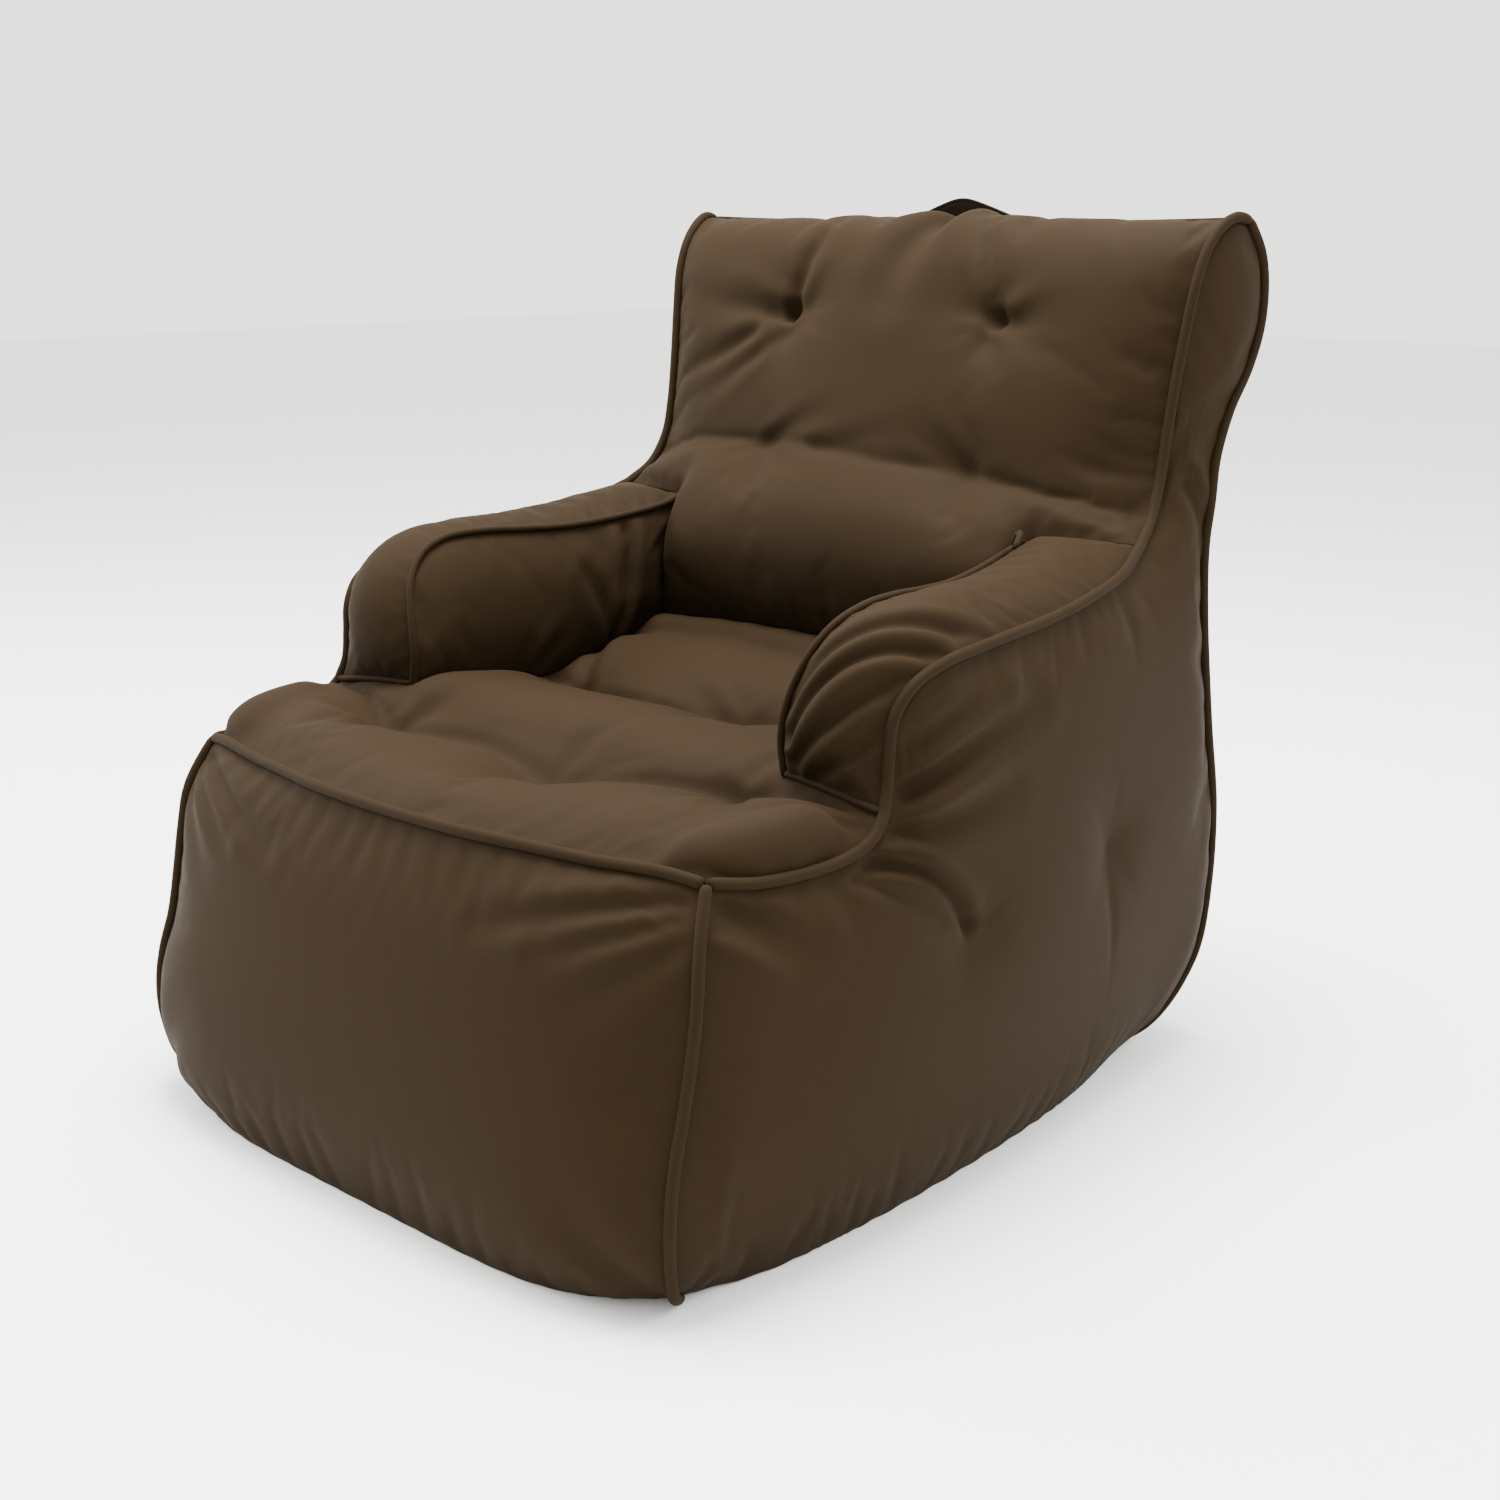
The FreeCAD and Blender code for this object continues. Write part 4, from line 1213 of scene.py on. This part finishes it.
    def arm_inner(self, sign: int) -> Panel:
        """The inner face of one arm."""
        seams = self.seams
        line = seams["arm_inner"]
        rise = int(np.argmin(np.linalg.norm(line - np.array(seams.arm_inner[3]), axis=1)))
        front = resample(line[:rise + 1], seams.lumbar_rows)
        top = resample(line[rise:], seams.seat_rows)
        grid = coons(seams["seat_edge"], top, front, seams["lumbar_side"])
        details = [
            Fold(mm((256, 113, 393), (256, 127, 448), (256, 141, 516)), 0.012, 0.006, 1.2, 0.9),
            Fold(mm((256, 113, 393), (256, 99, 429), (262, 76, 473)), 0.005, 0.008, 1.2, 0.5),
            Fold(mm((258, 10, 385), (258, 30, 405), (258, 60, 420)), 0.004, 0.008, 1.6),
        ]
        return self._paired(sign, "arm_inner_cover", "arm_inner_panel", grid, details, outward=(-sign, 0, 0),
                            puff=0.016, reach=0.055, growth=0.012, cap=0.005)

    def base(self) -> Panel:
        """The base panel, flat on the floor."""
        seams = self.seams
        count = 60
        right = resample(seams["base_side"], count)
        grid = coons(resample(seams.front_grid[0], 80), resample(seams.back_grid[0], 80), mirrored(right), right)
        grid[1:-1, 1:-1, 2] = FLOOR_GAP
        return Panel("base_cover", "base_panel", [grid], (0, 0, -1), [], 0.0)

    def panels(self) -> list[Panel]:
        """All the panels, in the order in which they are sewn."""
        pairs = [make(sign) for make in (self.side, self.arm_band, self.arm_inner) for sign in (-1, 1)]
        return [self.base(), self.front(), self.seat(), self.backrest(), self.back(), *pairs]

    def build(self) -> None:
        """Makes and dresses every panel."""
        for panel in self.panels():
            piece = self._flat(panel) if panel.name == "base_cover" else panel.build()
            self.finishes.dress(piece, "cover_cloth")
            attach(piece, "chair")
            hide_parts(panel.node)
            log.info("made %s", panel.name)

    @staticmethod
    def _flat(panel: Panel) -> bpy.types.Object:
        """The base panel without a simulation: the floor holds it flat."""
        grid = panel.grids[0]
        points = grid.reshape(-1, 3)
        piece = make_object(panel.name, points, grid_faces(grid, panel.outward), points[:, :2])
        thicken(piece, 0.75 * CLOTH_THICKNESS, smooth=False)
        return piece


# ---- piping

@dataclass
class Piping:
    """The cloth-covered cords sewn into the seams."""

    seams: Seams
    finishes: Finishes
    welt: float = 0.0052
    thin: float = 0.0036
    lift: float = 0.0035
    forward: tuple[float, float, float] = (0.0, -0.0025, 0.0025)
    foot_height: float = 0.060
    foot_shift: tuple[float, float] = (0.006, 0.004)
    spacing: float = 0.005

    def _cord(self, name: str, node: str, line: Array, radius: float) -> None:
        """Makes one length of piping and dresses it."""
        length = float(np.linalg.norm(np.diff(line, axis=0), axis=1).sum())
        line = resample(line, max(8, int(length / self.spacing)))
        line[:, 2] = np.maximum(line[:, 2], radius)
        piece = tube_mesh(name, line, radius)
        self.finishes.dress(piece, "piping_cloth")
        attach(piece, "chair")
        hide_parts(node)

    def _raised(self, line: Array, side: float, turn: float = 1.0) -> Array:
        """A line of the right side moved out of its seam.

        It moves along the sum of the sideways direction and the line's own normal in the side
        view, which is its tangent turned by a right angle.

        Args:
            line: the line, on the right side.
            side: 1 to move it away from the middle plane as well, or -1 to move it towards it.
            turn: 1 to turn the tangent forwards and up, or -1 to turn it back.

        Returns:
            The moved line.
        """
        tangent = np.gradient(line, axis=0)
        away = np.stack([np.zeros(len(line)), -tangent[:, 2], tangent[:, 1]], axis=1) * turn
        away /= np.maximum(np.linalg.norm(away, axis=1, keepdims=True), 1e-9)
        away[:, 0] = side
        return line + away / math.sqrt(2) * self.lift

    def build(self) -> None:
        """Makes every length of piping, on both sides."""
        seams = self.seams
        main = np.vstack([smooth_line(seams.seat_side, 80), smooth_line(seams.arm_outer, 160)[1:],
                          smooth_line(seams.back_side, 120)[1:]])
        forward = np.array(self.forward)
        pleat = smooth_line([(0.2395, 0.199, 0.548), (0.2440, 0.198, 0.556), (0.2500, 0.193, 0.558),
                             (0.2545, 0.185, 0.554), (0.2565, 0.176, 0.546)], 16)
        footed = ease(0.0, self.foot_height, seams["rear"][:, 2:])
        rear = self._raised(seams["rear"], 1.0, -1.0) * footed + seams["rear"] * (1 - footed)
        rear[:, :2] -= (1 - footed) * np.array(self.foot_shift)
        for sign, word in ((-1, "left"), (1, "right")):
            inner = self._raised(seams["arm_inner"], -1.0)
            if sign > 0:
                inner = np.vstack([inner[:-2], pleat])
            place = (lambda line: line) if sign > 0 else mirrored
            cords = (
                (f"{word}_main_piping", f"{word}_main_welt", self._raised(main, 1.0), self.welt),
                (f"{word}_rear_piping", f"{word}_rear_welt", rear, self.welt),
                (f"{word}_front_corner_piping", f"{word}_corner_piping", self._raised(seams["corner"], 1.0),
                 self.welt),
                (f"{word}_arm_edge_piping", f"{word}_arm_inner_piping", inner, self.thin),
                (f"{word}_arm_foot_piping", f"{word}_arm_front_piping", seams["arm_foot"] + forward, self.thin),
            )
            for name, node, line, radius in cords:
                self._cord(name, node, place(line), radius)
        self._cord("front_edge_piping", "front_welt", seams["front"] + forward, self.welt)
        self._cord("top_edge_piping", "top_welt", seams["top_seam"] + np.array([0.0, 0.001, 0.002]), self.thin)


# ---- carry handle

@dataclass
class CarryHandle:
    """A folded strap whose two ends are sewn to patches behind the top edge."""

    finishes: Finishes
    half_span: float = 0.104
    rise: float = 0.0719
    fall: float = 0.0385
    width: float = 0.031
    thickness: float = 0.0030
    bend_squared: float = 0.012
    bend_drop: float = 0.06
    middle_share: float = 0.53
    groove_depth: float = 0.35
    groove_place: float = 0.76
    groove_width: float = 0.05
    leg_start: tuple[float, float] = (0.80, 0.86)
    leg_foot: float = 0.0002
    leg_thinning: float = 0.4
    lean: float = math.radians(12.9)
    pivot: tuple[float, float] = (0.4395, 0.8085)

    def _strap(self) -> bpy.types.Object:
        """The strap: a flattened ring carried along an arch.

        The arch's top edge is at rise - fall times |t|, rounded in its middle, for t from -1 to 1
        across the span. The ring is a rectangle with rounded edges and two sewn grooves, and at
        both ends its lower edge comes down to the pivot as a leg.
        """
        t = np.linspace(-1, 1, 90)
        arch = np.sqrt(t ** 2 + self.bend_squared) - self.bend_drop
        height = self.rise - self.fall * arch - self.width * self.middle_share
        centre = np.stack([self.half_span * t, np.zeros_like(t), height], axis=1)
        slope = np.gradient(height, centre[:, 0])
        up = np.stack([-slope, np.zeros_like(t), np.ones_like(t)], axis=1)
        up /= np.linalg.norm(up, axis=1, keepdims=True)
        angle = np.linspace(0, 2 * math.pi, 40, endpoint=False)
        across = np.sign(np.cos(angle)) * np.abs(np.cos(angle)) ** 0.5
        through = np.sign(np.sin(angle)) * np.abs(np.sin(angle)) ** 0.35
        groove = 1 - self.groove_depth * np.exp(-((np.abs(across) - self.groove_place) / self.groove_width) ** 2)
        half = self.width / 2
        leg = ease(*self.leg_start, np.abs(t))[:, None] * (across < 0)[None]
        points = centre[:, None] + up[:, None] * (across * half)[None, :, None]
        points[..., 1] += (through * groove * self.thickness / 2)[None] * (1 - self.leg_thinning * leg)
        points[..., 2] = np.maximum(points[..., 2], 0.0) * (1 - leg) + self.leg_foot * leg
        points = self._leaned(points)
        uv = np.stack(np.broadcast_arrays(centre[:, :1], (across * half)[None]), axis=-1).reshape(-1, 2)
        piece = make_object("carry_handle_strap", points.reshape(-1, 3), ring_faces(*points.shape[:2]), uv)
        mend(piece, close=True)
        return piece

    def _leaned(self, points: Array) -> Array:
        """Leans points of the strap's own plane towards the backrest and puts them at the pivot."""
        y = points[..., 1] * math.cos(self.lean) - points[..., 2] * math.sin(self.lean)
        z = points[..., 1] * math.sin(self.lean) + points[..., 2] * math.cos(self.lean)
        return np.stack([points[..., 0], y + self.pivot[0], z + self.pivot[1]], axis=-1)

    def build(self) -> None:
        """Makes the strap and dresses it."""
        piece = self._strap()
        self.finishes.dress(piece, "handle_webbing")
        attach(piece, "handle")
        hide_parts("carry_handle")


# ---- zip teeth and stitches

def scatter(name: str, centres: Array, axes: Array, radii: tuple[float, float, float]) -> bpy.types.Object:
    """Many small rounded bars in one piece: a stretched ball copied to every centre.

    Args:
        name: the piece's name.
        centres: one row per bar.
        axes: for each bar, its three unit axes, as rows.
        radii: the ball's half-sizes along those axes.

    Returns:
        The object.
    """
    around, rings, cap, bluntness = 10, 7, 0.02, 0.8
    turn = np.linspace(0, 2 * math.pi, around, endpoint=False)
    rise = np.linspace(cap, math.pi - cap, rings)
    ball = np.stack([np.outer(np.cos(rise), np.ones(around)), np.outer(np.sin(rise), np.cos(turn)),
                     np.outer(np.sin(rise), np.sin(turn))], axis=-1).reshape(-1, 3)
    ball = np.sign(ball) * np.abs(ball) ** bluntness * np.array(radii)
    points = centres[:, None] + np.einsum("vk,nkj->nvj", ball, axes)
    faces = (ring_faces(rings, around)[None] + (np.arange(len(centres)) * len(ball))[:, None, None]).reshape(-1, 4)
    piece = make_object(name, points.reshape(-1, 3), faces, points.reshape(-1, 3)[:, :2])
    mend(piece, close=True)
    return piece


@dataclass
class SewnParts:
    """The zip's coil, the stitches on the patches and the zip, and the folds that the handle swings on."""

    finishes: Finishes
    tooth_pitch: float = 0.0022
    tooth_shift: float = 0.0007
    stitch_pitch: float = 0.0042
    fold_radius: float = 0.0018
    fold_ends: tuple[float, float] = (0.084, 0.1055)
    fold_place: tuple[float, float] = (0.4393, 0.8077)
    patch_width: float = 0.034
    patch_edge: float = 0.003
    tape_edge: float = 0.002
    lift: float = 0.0002
    tooth: tuple[float, float, float] = (0.0023, 0.00095, 0.0013)
    stitch: tuple[float, float, float] = (0.0016, 0.00045, 0.00045)

    def _dress(self, piece: bpy.types.Object, slot: str, *nodes: str) -> None:
        """Dresses a small piece, puts it on the chair and hides the CAD nodes that it stands for."""
        self.finishes.dress(piece, slot)
        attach(piece, "chair")
        if nodes:
            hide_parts(*nodes)

    def _coil(self) -> None:
        """The coil's teeth: bars across the zip, reaching up and down by turns."""
        low, high = (np.array(corner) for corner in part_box("zip_chain"))
        middle = (low + high) / 2
        count = int((high[0] - low[0]) / self.tooth_pitch)
        x = low[0] + (np.arange(count) + 0.5) * (high[0] - low[0]) / count
        z = middle[2] + np.where(np.arange(count) % 2 == 0, self.tooth_shift, -self.tooth_shift)
        centres = np.stack([x, np.full(count, middle[1]), z], axis=1)
        axes = np.broadcast_to(np.array([[0.0, 0.0, 1.0], [1.0, 0.0, 0.0], [0.0, 1.0, 0.0]]), (count, 3, 3))
        self._dress(scatter("zip_coil_teeth", centres, axes, self.tooth), "zip_coil", "zip_chain")

    def _stitches(self, name: str, runs: Sequence[tuple[Array, Array]]) -> None:
        """Rows of stitches, each a straight run from one point to another."""
        centres, axes = [], []
        for start, end in runs:
            along = (end - start) / np.linalg.norm(end - start)
            count = int(np.linalg.norm(end - start) / self.stitch_pitch)
            share = (np.arange(count) + 0.5) / count
            centres.append(start + (end - start) * share[:, None])
            basis = np.array([along, np.cross([0.0, 1.0, 0.0], along), [0.0, 1.0, 0.0]])
            axes.append(np.broadcast_to(basis, (count, 3, 3)))
        self._dress(scatter(name, np.vstack(centres), np.concatenate(axes), self.stitch), "handle_webbing")

    def build(self) -> None:
        """Makes the coil, the rows of stitches and the folds of cloth under the handle's legs."""
        self._coil()
        low, high = (np.array(corner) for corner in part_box("handle_patches"))
        runs = []
        width, edge, face = self.patch_width, self.patch_edge, high[1] + self.lift
        for side in (-1, 1):
            outer = high[0] if side > 0 else low[0]
            x0, x1 = sorted((outer - side * edge, outer - side * (width - edge)))
            z0, z1 = low[2] + edge, high[2] - edge
            corners = [np.array([x, face, z]) for x, z in ((x0, z0), (x1, z0), (x1, z1), (x0, z1))]
            runs += list(zip(corners, corners[1:] + corners[:1]))
            runs += [(corners[0], corners[2]), (corners[1], corners[3])]
        self._stitches("patch_stitches", runs)
        for side, word in ((-1, "left"), (1, "right")):
            line = np.array([(side * x, *self.fold_place) for x in np.linspace(*self.fold_ends, 8)])
            self._dress(tube_mesh(f"{word}_handle_fold", line, self.fold_radius), "handle_webbing")
        runs = []
        for name in ("zip_tape_upper", "zip_tape_lower"):
            low, high = (np.array(corner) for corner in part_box(name))
            for z in (low[2] + self.tape_edge, high[2] - self.tape_edge):
                runs.append(tuple(np.array([x, high[1] + self.lift, z]) for x in (low[0], high[0])))
        self._stitches("zip_tape_stitches", runs)


# ---- the bags inside the cover

@dataclass(frozen=True)
class InnerBag:
    """A bag of beads that has settled, so it lies clear of the cover's dips.

    Attributes:
        name: the first word of its two CAD nodes.
        centre: the point that it shrinks towards.
        scale: its size along each axis, as a share of the CAD model's.
        fill: how full it is, from 0, slack, to 1, tight; not used.
    """

    name: str
    centre: tuple[float, float, float]
    scale: tuple[float, float, float]
    fill: float = 0.7

    def build(self, finishes: Finishes) -> None:
        """Makes the liner and the beads as smaller copies of the CAD nodes."""
        for part, slot in (("liner", "liner_cloth"), ("bead_fill", "bead_fill")):
            node = f"{self.name}_{part}"
            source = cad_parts[node]
            piece = bpy.data.objects.new(f"{node}_settled", source.data.copy())
            bpy.context.collection.objects.link(piece)
            centre, scale = np.array(self.centre), np.array(self.scale)
            set_positions(piece, centre + (vectors(piece.data.vertices) - centre) * scale)
            finishes.dress(piece, slot)
            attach(piece, "chair")
            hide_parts(node)


INNER_BAGS = (
    InnerBag("seat", (0.0, 0.0, 0.17), (0.84, 0.90, 0.88)),
    InnerBag("backrest", (0.0, 0.325, 0.62), (0.88, 0.80, 0.92)),
    InnerBag("left_arm", (-0.322, 0.030, 0.455), (0.74, 0.86, 0.74)),
    InnerBag("right_arm", (0.322, 0.030, 0.455), (0.74, 0.86, 0.74)),
)


# ---- what the CAD model already has

class Hardware:
    """The CAD nodes that keep their own shape and get a better finish."""

    SLOTS = {"ties": "tie_cord", "zip_tape": "zip_tape", "zip_end_stops": "zip_metal", "zip_slider": "zip_metal",
             "zip_pull": "zip_metal", "handle_patches": "handle_webbing"}

    def __init__(self, finishes: Finishes) -> None:
        """Keeps the finishes to hand."""
        self.finishes = finishes

    def build(self) -> None:
        """Gives each of these CAD nodes its material."""
        for name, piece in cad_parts.items():
            slot = next((value for key, value in self.SLOTS.items() if key in name), None)
            if slot is None:
                continue
            if not piece.material_slots:
                piece.data.materials.append(self.finishes.by_slot[slot])
            for place in piece.material_slots:
                place.material = self.finishes.by_slot[slot]


# ---- the studio

WORLD_STRENGTH = 2.5
FLOOR_HALF = 12.0
MIDDLE = (0.0, 0.0, 0.4)


@dataclass(frozen=True)
class Studio:
    """A pale floor, soft light and the camera."""

    camera_place: tuple[float, float, float] = (1.359, -1.422, 0.860)
    azimuth: float = math.radians(42.2)
    pitch: float = math.radians(15.0)
    lens: float = 48.096

    def build(self) -> None:
        """Makes the floor, the lights, the world and the camera."""
        self._floor()
        self._world()
        for light in (("left", (-2.8, -1.5, 2.3), 1.8, 210.0), ("right", (2.7, 1.7, 2.4), 1.8, 130.0),
                      ("top", (-0.1, 0.1, 3.2), 1.6, 430.0)):
            self._area(*light)
        data = bpy.data.cameras.new("camera")
        data.lens = self.lens
        data.sensor_width = 36.0
        camera = bpy.data.objects.new("camera", data)
        bpy.context.collection.objects.link(camera)
        camera.location = self.camera_place
        camera.rotation_euler = (math.pi / 2 - self.pitch, 0.0, self.azimuth)
        bpy.context.scene.camera = camera

    @staticmethod
    def _floor() -> None:
        """A wide pale floor with a faint variation."""
        size = FLOOR_HALF
        corners = np.array([(-size, -size, 0), (size, -size, 0), (size, size, 0), (-size, size, 0)], float)
        floor = make_object("studio_floor", corners, np.array([[0, 1, 2, 3]]))
        shader = Shader("pale_floor")
        place = shader.node("ShaderNodeTexCoord").outputs["Object"]
        shader.link(shader.mixed(shader.noise(place, 3.0), (0.86, 0.86, 0.86), (0.89, 0.89, 0.89)), "Base Color")
        shader.constant(Roughness=0.6)
        floor.data.materials.append(shader.material)

    @staticmethod
    def _world() -> None:
        """A bright even surround."""
        world = bpy.data.worlds.new("surround")
        world.use_nodes = True
        background = world.node_tree.nodes["Background"]
        background.inputs[0].default_value = (1.0, 0.985, 0.965, 1.0)
        background.inputs[1].default_value = WORLD_STRENGTH
        bpy.context.scene.world = world

    @staticmethod
    def _area(name: str, place: Sequence[float], size: float, power: float) -> None:
        """A square area light that points at the chair's middle."""
        data = bpy.data.lights.new(name, "AREA")
        data.size = size
        data.energy = power
        light = bpy.data.objects.new(name, data)
        bpy.context.collection.objects.link(light)
        light.location = place
        light.rotation_euler = (Vector(MIDDLE) - Vector(place)).to_track_quat("-Z", "Y").to_euler()


# ---- the whole chair

def write_sizes() -> None:
    """Brings the view layer up to date."""

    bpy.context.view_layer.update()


def main() -> None:
    """Builds the studio, then the chair from its cover to its hardware."""
    logging.basicConfig(level=logging.INFO, format="%(name)s: %(message)s")
    Studio().build()
    finishes = Finishes()
    seams = Seams()
    Cover(seams, finishes).build()
    Piping(seams, finishes).build()
    CarryHandle(finishes).build()
    SewnParts(finishes).build()
    for bag in INNER_BAGS:
        bag.build(finishes)
    Hardware(finishes).build()
    write_sizes()


if __name__ == "__main__":
    main()
